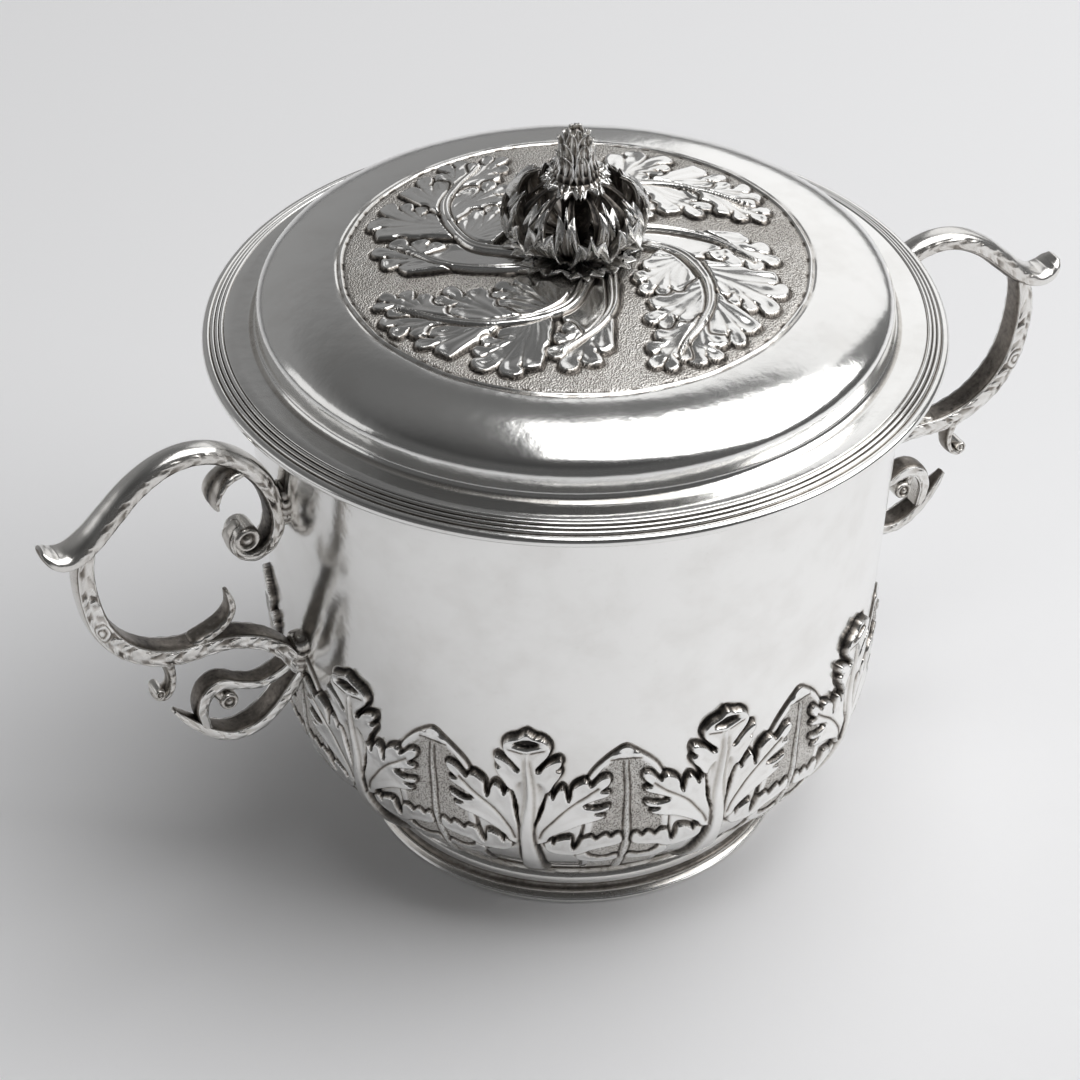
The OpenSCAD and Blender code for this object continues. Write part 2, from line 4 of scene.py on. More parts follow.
import bpy
import numpy as np
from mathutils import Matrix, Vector


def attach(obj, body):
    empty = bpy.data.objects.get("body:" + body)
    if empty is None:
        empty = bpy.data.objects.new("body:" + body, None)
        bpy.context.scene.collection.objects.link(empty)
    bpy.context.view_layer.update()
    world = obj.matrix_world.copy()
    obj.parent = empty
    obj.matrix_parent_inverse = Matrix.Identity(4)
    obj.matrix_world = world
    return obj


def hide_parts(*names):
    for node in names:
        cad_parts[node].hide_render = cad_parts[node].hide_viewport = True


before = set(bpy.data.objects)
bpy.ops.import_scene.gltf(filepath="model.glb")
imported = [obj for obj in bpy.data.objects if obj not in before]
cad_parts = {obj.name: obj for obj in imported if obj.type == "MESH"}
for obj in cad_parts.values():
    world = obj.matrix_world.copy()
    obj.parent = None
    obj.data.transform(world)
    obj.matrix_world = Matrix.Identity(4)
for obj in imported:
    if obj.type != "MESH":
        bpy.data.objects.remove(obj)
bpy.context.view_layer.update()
MM = 0.001

# Sizes of the solids, in millimetres
CUP_H, BOWL_R, ROUND_R, BASE_Z, TAPER = 132.0, 70.6, 36.0, 10.0, 5.8
ROUND_X, ROUND_Z = BOWL_R - ROUND_R, BASE_Z + ROUND_R
STRAIGHT_H = CUP_H - ROUND_Z
LIP_H, LIP_FLARE, CUP_WALL = 16.0, 1.5, 1.1
FLANGE_R, CROWN_R, PANEL_R = 79.8, 72.5, 54.0
FLANGE_Z, SHOULDER_Z, PANEL_Z, PANEL_RISE = 133.5, 138.5, 147.3, 3.6
SEAT_R, SEAT_Z, STEM_HOLE = 7.0, 150.84, 1.55
BUD_R, BUD_HALF, BUD_LOW, BUD_MID, BUD_HIGH = 14.4, 9.0, 152.64, 161.08, 169.42
CONE_Z, CONE_H, CONE_R = 170.42, 12.6, 5.4
HANDLE_Z = 43.0
BUD_LEAVES, ROSETTE_LEAVES, FINGERS = 10, 8, 3
# Points round the cup, the cover and the plain rings
CUP_POINTS, COVER_POINTS, RING_POINTS = 1500, 960, 480
FAR, TINY = 1e9, 1e-12


# Curves and distances

def spline(a, b, c, d, t):
    """Points between b and c on the smooth curve through a, b, c and d."""
    return 0.5 * (2 * b + (c - a) * t + (2 * a - 5 * b + 4 * c - d) * t**2 + (3 * b - a - 3 * c + d) * t**3)


def smooth(rows, steps):
    """Smooth curve through the rows of a table."""
    p = np.asarray(rows, float)
    p = np.vstack([p[:1], p, p[-1:]])
    t = np.arange(steps)[:, None] / steps
    return np.vstack([spline(*four, t) for four in zip(p, p[1:], p[2:], p[3:])] + [p[-1:]])


def rounded(points, steps):
    """Closed outline with its corners softened."""
    p = np.asarray(points, float)
    t = np.arange(steps)[:, None] / steps
    fours = zip(np.roll(p, 1, 0), p, np.roll(p, -1, 0), np.roll(p, -2, 0))
    return np.vstack([spline(*four, t) for four in fours])


def in_box(x, y, points, reach):
    """Which samples lie within reach of the box round the points."""
    low, high = points[:, :2].min(0) - reach, points[:, :2].max(0) + reach
    return (x > low[0]) & (x < high[0]) & (y > low[1]) & (y < high[1])


def to_segment(px, py, a, b):
    """Share of the way from a to b that is nearest to each sample, and the offset from there."""
    dx, dy = b[0] - a[0], b[1] - a[1]
    t = unit(((px - a[0]) * dx + (py - a[1]) * dy) / (dx * dx + dy * dy + TINY))
    return t, px - a[0] - t * dx, py - a[1] - t * dy


def depth_in(x, y, outline, reach=3.0):
    """Distance inside a closed outline, negative outside it, down to -reach."""
    out = np.full(x.shape, -reach)
    near = in_box(x, y, outline, reach)
    px, py = x[near], y[near]
    best, inside = np.full(px.shape, FAR), np.zeros(px.shape, bool)
    for a, b in zip(outline, np.roll(outline, -1, 0)):
        _, ox, oy = to_segment(px, py, a, b)
        best = np.minimum(best, ox**2 + oy**2)
        dx, dy = b[0] - a[0], b[1] - a[1]
        inside ^= ((a[1] > py) != (b[1] > py)) & (px < dx * (py - a[1]) / (dy if dy else TINY) + a[0])
    out[near] = np.maximum(np.where(inside, 1, -1) * np.sqrt(best), -reach)
    return out


def along(x, y, rows, reach=3.0):
    """Samples near a curve, their distance to it, and the other columns of its table at the nearest point."""
    rows = np.asarray(rows, float)
    near = in_box(x, y, rows, reach + (rows[:, 2].max() if rows.shape[1] > 2 else 0))
    px, py = x[near], y[near]
    best, values = np.full(px.shape, FAR), np.zeros(px.shape + (rows.shape[1] - 2,))
    for a, b in zip(rows, rows[1:]):
        t, ox, oy = to_segment(px, py, a, b)
        d = np.hypot(ox, oy)
        closer = d < best
        best[closer] = d[closer]
        values[closer] = a[2:] + (b[2:] - a[2:]) * t[closer, None]
    return near, best, values


def unit(value):
    """The value, held between 0 and 1."""
    return np.clip(value, 0, 1)


def step(low, high, value):
    """0 at low, 1 at high and smooth between them."""
    t = unit((value - low) / (high - low))
    return t * t * (3 - 2 * t)


def bump(distance, width):
    """1 at no distance, fading out over the width."""
    return np.exp(-(distance / width) ** 2)


def arc(x, z, r, a, b, n):
    """n points of a circle, from a to b degrees."""
    t = np.radians(np.linspace(a, b, n))
    return np.stack([x + r * np.cos(t), z + r * np.sin(t)], -1)


def polar(r, a, z):
    """Points at a radius, an angle and a height."""
    return np.stack([r * np.cos(a), r * np.sin(a), z + 0 * a], -1)


def hollow_shade(height, passes=14, gain=1.5):
    """How deep each point lies below its neighbourhood, from 0 to 1, for painting shade into the hollows."""
    soft = height.copy()
    for _ in range(passes):
        side = np.roll(soft, 1, 1) + np.roll(soft, -1, 1)
        up = np.vstack([soft[1:], soft[-1:]]) + np.vstack([soft[:1], soft[:-1]])
        soft = 0.25 * (side + up)
    return unit((soft - height) * gain)


# Meshes

def new_object(name, data):
    """Object of a mesh, lamp or camera, in the scene."""
    made = bpy.data.objects.new(name, data)
    bpy.context.scene.collection.objects.link(made)
    return made


class Shape:
    """Points, faces and painted values of one piece: tone is tarnish and painted shade, matte is punched
    ground.
    """

    def __init__(self):
        self.points, self.tone, self.matte, self.quads, self.tris, self.count = [], [], [], [], [], 0

    def add(self, points, tone, matte):
        points = np.asarray(points, float)
        size = points.shape[:-1]
        self.points.append(points.reshape(-1, 3))
        self.tone.append(np.broadcast_to(tone, size).reshape(-1))
        self.matte.append(np.broadcast_to(matte, size).reshape(-1))
        start = self.count
        self.count += self.points[-1].shape[0]
        return start

    def grid(self, points, tone, matte=0.0, closed=False):
        """Faces over rows of points. Columns join up. Rows join up if closed, or else the ends are filled."""
        rows, cols = points.shape[:2]
        start = self.add(points, tone, matte)
        i, j = np.meshgrid(np.arange(rows if closed else rows - 1), np.arange(cols), indexing="ij")
        i2, j2 = (i + 1) % rows, (j + 1) % cols
        quads = np.stack([i * cols + j, i * cols + j2, i2 * cols + j2, i2 * cols + j], -1)
        self.quads.append((quads + start).reshape(-1, 4))
        if closed:
            return
        tone = np.broadcast_to(tone, (rows, cols))
        for row, flip in ((0, True), (rows - 1, False)):
            middle = np.full(cols, self.add(points[row].mean(0)[None], tone[row].mean(), 0.0))
            a = start + row * cols + np.arange(cols)
            b = start + row * cols + (np.arange(cols) + 1) % cols
            self.tris.append(np.stack([middle, b, a] if flip else [middle, a, b], -1))

    def build(self, name, body, nodes, material):
        points = np.vstack(self.points) * MM
        quads = np.vstack(self.quads)
        tris = np.vstack(self.tris) if self.tris else np.zeros((0, 3), int)
        mesh = bpy.data.meshes.new(name)
        mesh.vertices.add(len(points))
        mesh.vertices.foreach_set("co", points.astype(np.float32).ravel())
        loops = np.concatenate([quads.ravel(), tris.ravel()]).astype(np.int32)
        mesh.loops.add(len(loops))
        mesh.loops.foreach_set("vertex_index", loops)
        starts = np.concatenate([np.arange(len(quads)) * 4, len(quads) * 4 + np.arange(len(tris)) * 3])
        mesh.polygons.add(len(starts))
        mesh.polygons.foreach_set("loop_start", starts.astype(np.int32))
        mesh.polygons.foreach_set("use_smooth", np.ones(len(starts), bool))
        mesh.update(calc_edges=True)
        for label, values in (("tone", self.tone), ("matte", self.matte)):
            mesh.attributes.new(label, "FLOAT", "POINT").data.foreach_set(
                "value", np.concatenate(values).astype(np.float32))
        mesh.materials.append(material)
        piece = new_object(name, mesh)
        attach(piece, body)
        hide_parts(*nodes)


def circle(n):
    """n angles round the axis."""
    return np.linspace(0, 2 * pi, n, endpoint=False)


def turn(profile, n=64):
    """Profile rows of radius and height, turned round the axis."""
    profile = np.asarray(profile, float)
    return polar(profile[:, :1], circle(n), profile[:, 1:])


def joined(bands):
    """Points, tone and matte of bands of rows, one after the other."""
    full = [(points, *(np.broadcast_to(v, points.shape[:2]) for v in values)) for points, *values in bands]
    return [np.concatenate(column) for column in zip(*full)]


# Materials

def feed(made, inputs):
    """Links sockets to the inputs of a shader node, and sets plain values."""
    for key, value in inputs.items():
        if isinstance(value, bpy.types.NodeSocket):
            made.id_data.links.new(value, made.inputs[key])
        elif value is not None:
            made.inputs[key].default_value = value


def node(tree, kind, inputs=None, **values):
    """Outputs of a new shader node."""
    made = tree.nodes.new(kind)
    for key, value in values.items():
        setattr(made, key, value)
    feed(made, inputs or {})
    return made.outputs


def colour_ramp(tree, source, stops):
    """Colour that follows a value through the stops, each a position and a colour."""
    made = tree.nodes.new("ShaderNodeValToRGB")
    while len(made.color_ramp.elements) < len(stops):
        made.color_ramp.elements.new(0.5)
    for element, (at, colour) in zip(made.color_ramp.elements, stops):
        element.position, element.color = at, colour
    feed(made, {"Fac": source})
    return made.outputs["Color"]


def silver(name, rough, planish, stain, ripple=0.00004):
    """Polished silver that darkens and roughens with tone, and is punched where matte says so."""
    material = bpy.data.materials.new(name)
    material.use_nodes = True
    tree = material.node_tree
    place = node(tree, "ShaderNodeTexCoord")["Object"]

    def maths(operation, a, b, clamp=False):
        return node(tree, "ShaderNodeMath", {0: a, 1: b}, operation=operation, use_clamp=clamp)[0]

    def noise(scale, detail, roughness=0.5):
        return node(tree, "ShaderNodeTexNoise", {"Scale": scale, "Detail": detail, "Roughness": roughness,
                                                 "Vector": place})["Fac"]

    def relief(height, distance, strength, before=None):
        return node(tree, "ShaderNodeBump", {"Distance": distance, "Strength": strength, "Height": height,
                                             "Normal": before})["Normal"]

    tone, matte = (node(tree, "ShaderNodeAttribute", attribute_name=key)["Fac"] for key in ("tone", "matte"))
    punch = node(tree, "ShaderNodeTexVoronoi", {"Scale": 2500, "Vector": place})["Distance"]
    cloud, grain = noise(70, 5, 0.6), noise(900, 4, 0.6)
    uneven = maths("ADD", maths("MULTIPLY", cloud, 0.8), maths("MULTIPLY", grain, 0.7))
    # tone brings tarnish and painted shade; haze and specks are stains, dots are the punched ground
    tarnish_and_shade = maths("MULTIPLY", tone, maths("ADD", uneven, 0.3))
    haze = maths("MULTIPLY", maths("SUBTRACT", cloud, 0.45, True), stain)
    speck = maths("MULTIPLY", maths("SUBTRACT", grain, 0.62, True), stain * 1.5)
    dots = maths("MULTIPLY", maths("SUBTRACT", 0.5, punch, True), maths("MULTIPLY", matte, 1.5))
    tarnish_and_shade = maths("ADD", maths("ADD", tarnish_and_shade, haze), maths("ADD", speck, dots), True)
    colour = colour_ramp(tree, tarnish_and_shade, ((0.0, (0.94, 0.935, 0.92, 1)), (0.3, (0.66, 0.635, 0.6, 1)),
                                       (0.62, (0.25, 0.225, 0.2, 1)), (1.0, (0.035, 0.032, 0.03, 1))))
    worn = maths("ADD", maths("MULTIPLY", cloud, 0.07), rough - 0.035)
    worn = maths("ADD", worn, maths("MULTIPLY", tarnish_and_shade, 0.3))
    worn = maths("ADD", worn, maths("MULTIPLY", matte, 0.16), True)
    normal = relief(noise(62, 2), 0.0009, planish)
    normal = relief(noise(420, 3), ripple, 1.0, normal)
    normal = relief(maths("MULTIPLY", punch, matte), 0.00022, 0.9, normal)
    feed(tree.nodes["Principled BSDF"], {"Metallic": 1.0, "Base Color": colour, "Roughness": worn,
                                         "Normal": normal})
    return material


raised = silver("raised_silver", rough=0.15, planish=0.22, stain=0.28)
cast = silver("cast_silver", rough=0.18, planish=0.12, stain=0.45)
leafy = silver("leaf_silver", rough=0.24, planish=0.1, stain=0.25, ripple=0.0003)


# Cup body with its leaf frieze
PITCH = 36.0    # degrees from one tall leaf of the frieze to the next
HALF = PITCH / 2 * pi / 180 * 68    # half of that in mm, at a mean radius of 68 mm

# Right half of a tall leaf, from its tip down to the stem, as [across, up]
TALL = [(0, 24.7), (1.7, 23.5), (3.8, 22.8), (5.1, 21.4), (5.5, 19.7), (4.9, 17.9), (3.4, 16), (2.1, 14.3),
        (1.9, 13.3), (2.7, 13.4), (3.8, 15), (5.4, 16.2), (7.3, 16.8), (7.5, 15.4), (6.9, 14.2),
        (6.1, 13.4), (7, 13.2), (7.2, 12.5), (6.7, 11.1), (5.5, 9.3), (4.6, 7.4), (3.7, 6.5), (3.2, 4.4),
        (2.7, 1.9), (2.2, -1.2), (1.7, -3.6), (1.5, -7.3), (1.7, -11.9), (2.3, -16.5), (2.7, -19.6),
        (3, -30), (3, -42)]
# Right half of the leaf that spreads from its stem
SIDE = [(0.4, -8), (2.5, -1.4), (3.2, 1.9), (3.4, 5), (3.9, 7.1), (4.7, 6.5), (5.2, 5), (5.9, 6.8),
        (7.1, 8.2), (8, 6.8), (8.3, 5), (8.7, 3.8), (9.2, 5.3), (9.4, 7.4), (10.4, 8.8), (12.3, 9.9),
        (13.2, 9.2), (13.6, 8.3), (14.6, 9.3), (16, 10.9), (17.6, 11.4), (18.1, 10), (17.4, 8.4),
        (15.6, 6.5), (17.5, 6.4), (17.1, 5), (14.8, 3.9), (11.9, 2.3), (12.3, 1.4), (14.5, 1), (17.2, 2.2),
        (17.1, 0.7), (15.7, -0.1), (14, -0.7), (16.1, -1.2), (15.9, -2.1), (14, -3), (10.6, -3.9),
        (7.6, -5.5), (5, -7.6), (3.9, -9.8), (0.4, -11)]
# Toothed leaf that lies along the bottom, and the small curled one under it
LOW = [(3.4, -11.6), (3.4, -10.1), (4.3, -9.3), (5, -9.3), (5.5, -11.1), (6.1, -9.3), (8.4, -8.1),
       (9.5, -8.5), (9.7, -11.3), (10.3, -13.1), (11.1, -11.3), (11.7, -8.8), (13.1, -7.9), (14, -8.2),
       (14.9, -9.4), (16, -8.2), (17, -7.6), (18, -9), (19.4, -7.3), (20.4, -8.8), (20.1, -11.6),
       (16.5, -12.8), (14, -13.4), (11.5, -15.3), (8, -15.7), (5, -14.7), (3.7, -13.1)]
CURL = [(10.6, -17), (11.3, -15.4), (13, -14.7), (13.6, -16.4), (15, -17.6), (17.6, -18), (19.8, -17),
        (20.4, -19.6), (17, -20.8), (13.4, -20.4), (11.1, -19)]
# Half of the round-topped leaf behind, from its own middle line
ROUND = [(0, 19.1), (2.4, 17.4), (4.5, 15.6), (6.6, 13.2), (8.1, 10.5), (8.8, 8), (9.2, 0), (9.6, -8),
         (9.2, -18), (8.6, -42)]
SIDE_RIB = [(2.6, -8.5), (3.4, -5.8), (5, -3), (7.2, 0.1), (9.9, 2.8), (12.6, 5), (15.2, 7.6)]
DROP = [(1.5, 9.4), (2.8, 8.6), (3.6, 6.6), (3.2, 3), (2.7, -0.6), (2.3, -1.6), (1.9, -0.6), (1.6, 3)]


def both(half):
    """Whole outline from one half."""
    half = np.asarray(half, float)
    return np.vstack([half, half[::-1][:-1] * (-1, 1)])


def wall(s):
    """Radius, height and outward normal of the cup, s mm up its side from the foot of the straight wall."""
    low = np.clip(-s / ROUND_R, 0, None)
    z = np.where(s > 0, ROUND_Z + s, ROUND_Z - ROUND_R * np.sin(low))
    lip = np.clip(z - CUP_H + LIP_H, 0, None) / LIP_H
    r = np.where(s > 0, BOWL_R + TAPER * s / STRAIGHT_H, ROUND_X + ROUND_R * np.cos(low))
    tilt = np.where(s > 0, atan(TAPER / STRAIGHT_H), low)
    return r + LIP_FLARE * lip**2, z, np.cos(tilt), -np.sin(tilt)


def wall_radius(z):
    """Radius of the straight wall at a height, without the lip."""
    return BOWL_R + TAPER * (z - ROUND_Z) / STRAIGHT_H


def lay(height, tone, matte, depth, top, edge=0.3, groove=0.3, dark=0.85, ground=0.0):
    """Lays a leaf of the given depth map over what is there, with a chased groove round it, painted dark as
    shade.
    """
    on = step(-0.1, edge, depth)
    outside = bump(depth + 0.28, 0.26) * (depth < 0.1)
    height = height * (1 - on) + top * on - groove * outside
    # dark line of painted shade in the groove round the leaf
    line = dark * bump(np.minimum(depth + 0.12, 0), 0.32) * (1 - step(0.0, 0.3, depth))
    return height, np.maximum(tone * (1 - on), line), matte * (1 - on) + ground * on


def frieze(azimuth, s):
    """Height, tone and punched ground of the frieze, at degrees round the cup and mm up its side."""
    wave = np.radians(azimuth)
    x = (azimuth - PITCH * np.floor(azimuth / PITCH) - PITCH / 2) * HALF / (PITCH / 2)
    x = x + 0.3 * np.sin(7 * wave + s * 0.16) + 0.16 * np.sin(23 * wave - s * 0.31)
    y = s + 0.4 * np.sin(11 * wave + 1) + 0.2 * np.sin(29 * wave + s * 0.2) + 0.5 * np.sin(3 * wave + 2)
    side = np.abs(x)
    back = HALF - side
    height, tone, matte = np.zeros(x.shape), np.zeros(x.shape), np.zeros(x.shape)

    depth = depth_in(back, y, rounded(both(ROUND), 3))
    dome = 0.55 + 0.25 * step(0, 4, depth) - 0.3 * step(1.2, 1.9, depth)
    height, tone, matte = lay(height, tone, matte, depth, dome, ground=1.0)
    matte = np.where(depth < 1.5, 0, matte * step(1.5, 2.0, depth) * step(16.3, 15.6, y))
    tone = np.maximum(tone, 0.2 * step(1.1, 2.2, depth) * step(16.3, 15, y))
    # Fold along the top of the round leaf with painted shadow under it, and its raised vein with painted
    # shade along both sides
    fold = step(15.2, 15.9, y) * step(17.6, 16.6, y) * step(3.4, 2.2, back)
    height += 0.35 * fold
    tone = np.maximum(tone * (1 - fold), 0.8 * bump(y - 15.2, 0.35) * step(3.6, 3, back))
    vein = 0.2 + 0.02 * np.clip(12 - y, 0, 40)
    below = step(15, 14, y)
    height += 0.5 * np.sqrt(unit(1 - (back / vein) ** 2)) * below
    tone = np.maximum(tone * (1 - step(vein, vein * 0.6, back) * below),
                      0.7 * bump(back - vein - 0.35, 0.3) * below)

    for outline, top in ((CURL, 0.95), (LOW, 1.15), (SIDE, 1.3)):
        depth = depth_in(side, y, rounded(outline, 3))
        crown = top * (0.94 + 0.1 * bump(depth - 0.5, 0.35) - 0.1 * step(0.9, 2.4, depth))
        crown += 0.02 * np.clip(y + 6, 0, 20)
        height, tone, matte = lay(height, tone, matte, depth, crown)
    # Sunk rib of the side leaf, painted dark as shade
    near, d, _ = along(side, y, smooth(SIDE_RIB, 3))
    height[near] -= 0.3 * bump(d, 0.34)
    tone[near] = np.maximum(tone[near], 0.75 * bump(d, 0.3))

    depth = depth_in(x, y, rounded(both(TALL), 3))
    crown = 1.45 * (0.95 + 0.1 * bump(depth - 0.5, 0.35) - 0.08 * step(0.9, 2.4, depth))
    crown += 0.02 * np.clip(y - 4, 0, 20)
    height, tone, matte = lay(height, tone, matte, depth, crown)
    # Sunk flutes beside the stem, painted darker as shade, most at their lower ends, and the raised stem with
    # painted shade along its sides
    drop = depth_in(side, y, rounded(DROP, 4))
    height -= 0.5 * step(-0.6, 0.9, drop)
    tone = np.maximum(tone, 0.12 * step(-0.2, 0.9, drop) + 0.7 * step(0.0, 0.7, drop) * step(3.5, -0.5, y))
    stem = np.interp(-y, [-19, -12, -5, 5, 15, 20, 40], [0.15, 0.4, 0.65, 1.2, 1.9, 2.2, 2.6])
    height += 0.6 * np.sqrt(unit(1 - (side / stem) ** 2)) * step(18.6, 17.6, y)
    tone = np.maximum(tone * (1 - step(stem, stem * 0.7, side) * step(18.6, 17, y)),
                      0.35 * bump(side - stem - 0.4, 0.5) * step(18, 16, y) * step(-36, -30, y))
    # The curled-over head: a hollow painted dark as shade above a folded lip, with painted shade under the
    # lip
    hollow = np.minimum(1 - np.hypot(x / 3.3, (y - 21.2) / 1.75), (y - 20.0 - 0.22 * side) * 0.9)
    height -= step(0, 0.45, hollow)
    tone = np.maximum(tone, 0.95 * step(-0.02, 0.28, hollow))
    lip = y - (18.6 + 0.34 * side - 0.015 * side**2)
    at_lip = step(4.6, 3.8, side) * (np.abs(y - 19.5) < 3)
    height += 0.4 * bump(lip - 0.75, 0.5) * at_lip
    tone = np.maximum(tone, 0.8 * bump(lip + 0.05, 0.32) * at_lip * step(0.5, 1.2, side))
    fade = step(-41, -37, s)
    return height * fade, tone, matte * fade


def cup():
    # Rows up the side, closest together on the frieze
    bands = ((-56.5, -41, 7), (-41, -22, 39), (-22, 26.5, 145), (26.5, 70, 13), (70, 85.6, 9))
    s = np.concatenate([np.linspace(*band, endpoint=False) for band in bands] + [[85.6]])
    azimuth, up = np.meshgrid(np.arange(CUP_POINTS) * 360 / CUP_POINTS, s)
    height, tone, matte = frieze(azimuth, up)
    # painted shade in the hollows of the frieze, below its top
    tone = unit(np.maximum(tone, hollow_shade(height) * step(30, 26, up)))
    r, z, nr, nz = (v[:, None] for v in wall(s))
    outer = polar(r + height * nr, np.radians(azimuth), z + height * nz)
    top = BOWL_R + TAPER + LIP_FLARE
    lip = turn(arc(top - 0.55, CUP_H - 0.45, 0.5, 10, 170, 7), CUP_POINTS)
    down = np.concatenate([np.linspace(84, 70, 6), np.linspace(70, 0, 8)[1:], np.linspace(0, -55, 12)[1:]])
    r, z, nr, nz = wall(down)
    inner = turn(np.stack([r - CUP_WALL * nr, z - CUP_WALL * nz], -1), CUP_POINTS)
    bottom_z = BASE_Z + CUP_WALL
    bottom = turn([[25, bottom_z], [10, bottom_z], [1, bottom_z]], CUP_POINTS)
    under = turn([[1, BASE_Z], [12, BASE_Z], [26, BASE_Z]], CUP_POINTS)
    shape = Shape()
    shape.grid(*joined(((under, 0.25, 0.0), (outer, tone, matte), (lip, 0.0, 0.0), (inner, 0.12, 0.0),
                        (bottom, 0.12, 0.0))))
    shape.build("chased_cup", "cup", ["cup_body"], raised)

    foot = np.vstack([[[44.3, 0.2], [44.6, 0], [50.2, 0]], arc(50.2, 0.5, 0.5, -90, 0, 4), [[50.7, 1.3]],
                      arc(50.3, 1.3, 0.4, 0, 60, 4), arc(50.6, 2.9, 0.95, 230, 150, 7), [[49.72, 3.6]],
                      arc(47.2, 6.2, 2.5, -65, 78, 18), arc(47.35, 9.3, 0.62, -70, 75, 8),
                      [[47.2, 10.2], [47.2, 12.3], [44.3, 11.6]]])
    # painted shade in the grooves between the mouldings and where the foot meets the bowl
    shade = np.interp(foot[:, 1], [0, 1.4, 1.9, 2.6, 3.7, 4.4, 8.5, 8.8, 9.3, 10.2],
                      [0, 0, 0.4, 0.25, 0.7, 0, 0.2, 0.8, 0.1, 0.8])
    shape = Shape()
    shape.grid(turn(foot, RING_POINTS), shade[:, None], closed=True)
    shape.build("moulded_foot", "cup", ["foot_ring"], raised)


# Cover with its swirl of leaves
PHOTO_TURN = radians(-27.34)    # turns the drawing of the panel towards the camera
# Ribs as [x, y, half width]
RIB = [(11, 3.4, 1.5), (15.4, 1.6, 1.5), (20.2, 0, 1.45), (24.1, -2.6, 1.4), (27.2, -7.1, 1.3),
       (29.2, -12.8, 1.2), (29.6, -18.5, 1.1), (29, -23.7, 1), (26.8, -30.3, 0.8), (24, -36, 0.6),
       (22.6, -39.5, 0.4)]
FIRST_RIB = [(11, 8, 1.3), (18, 8.4, 1.25), (25, 7.4, 1.1), (31.6, 4.4, 0.9), (36.5, 0.4, 0.6), (40, -3, 0.4)]
# Leaflets of one leaf: where each springs from the rib, from and to, which way it bends and its finger tips
LEAFLETS = [((20.4, -0.6), (28, -9), (19, -9.5),
             [(14.6, -7.4), (13, -13), (14.6, -17.6), (18.6, -18.4), (22.4, -17)]),
            ((28.6, -11), (29.6, -19.5), (22, -22), [(16.6, -22.8), (15.4, -28.6), (19, -30.8), (23.2, -28)]),
            ((29.2, -23), (25, -33.5), (20.5, -36.5),
             [(17.2, -33.8), (15.7, -38.6), (16.2, -43.6), (20, -44.8), (23, -41.4)]),
            ((26, 7.4), (34, 2.4), (36.5, 1),
             [(38.8, 7), (43.8, 3), (45.6, -2.4), (41, -5.8), (35.6, -5), (31, -3)]),
            ((26.2, -5), (29.4, -13.6), (38.5, -13.5),
             [(44.8, -9.4), (47, -14.4), (44.2, -22), (39.4, -22), (35.6, -20.4), (32.8, -17)]),
            ((29.4, -15.5), (29.3, -22.5), (34, -26.5), [(39, -29.4), (35.4, -35), (31.4, -32)]),
            ((29, -24), (26, -33), (28.5, -34), [(32, -35.8), (30.4, -40.6), (26, -42.8)])]
STALK = [(13, 9.5), (19, 9.8), (25, 8.6), (31, 5), (33, 1.5), (30, -2), (26, -3.2), (22, -1.6), (16, 0.6),
         (12, 3)]


def leaflet(start, end, mid, tips):
    """Middle and outline of one leaflet: broad rounded fingers with narrow notches between them."""
    start, end, mid, tips = (np.asarray(v, float) for v in (start, end, mid, tips))
    middle = 0.225 * (start + end) + 0.55 * mid
    ahead = np.vstack([tips[1:], 2 * tips[-1] - tips[-2]]) - np.vstack([2 * tips[0] - tips[1], tips[:-1]])
    outline, notches = [start], []
    for i, tip in enumerate(tips):
        way = (tip - middle) / np.linalg.norm(tip - middle)
        across = np.array([-way[1], way[0]])
        across *= np.sign(across @ ahead[i])
        wide = min(0.235 * np.linalg.norm(ahead[i]), 2.9)
        outline += [tip - wide * across - 1.3 * way, tip - 0.5 * wide * across + 0.2 * way,
                    tip + 0.5 * wide * across + 0.2 * way, tip + wide * across - 1.3 * way]
        if i + 1 < len(tips):
            notches.append(middle + 0.84 * (0.5 * (tip + tips[i + 1]) - middle))
            outline.append(notches[-1])
    return middle, np.array(outline + [end]), notches


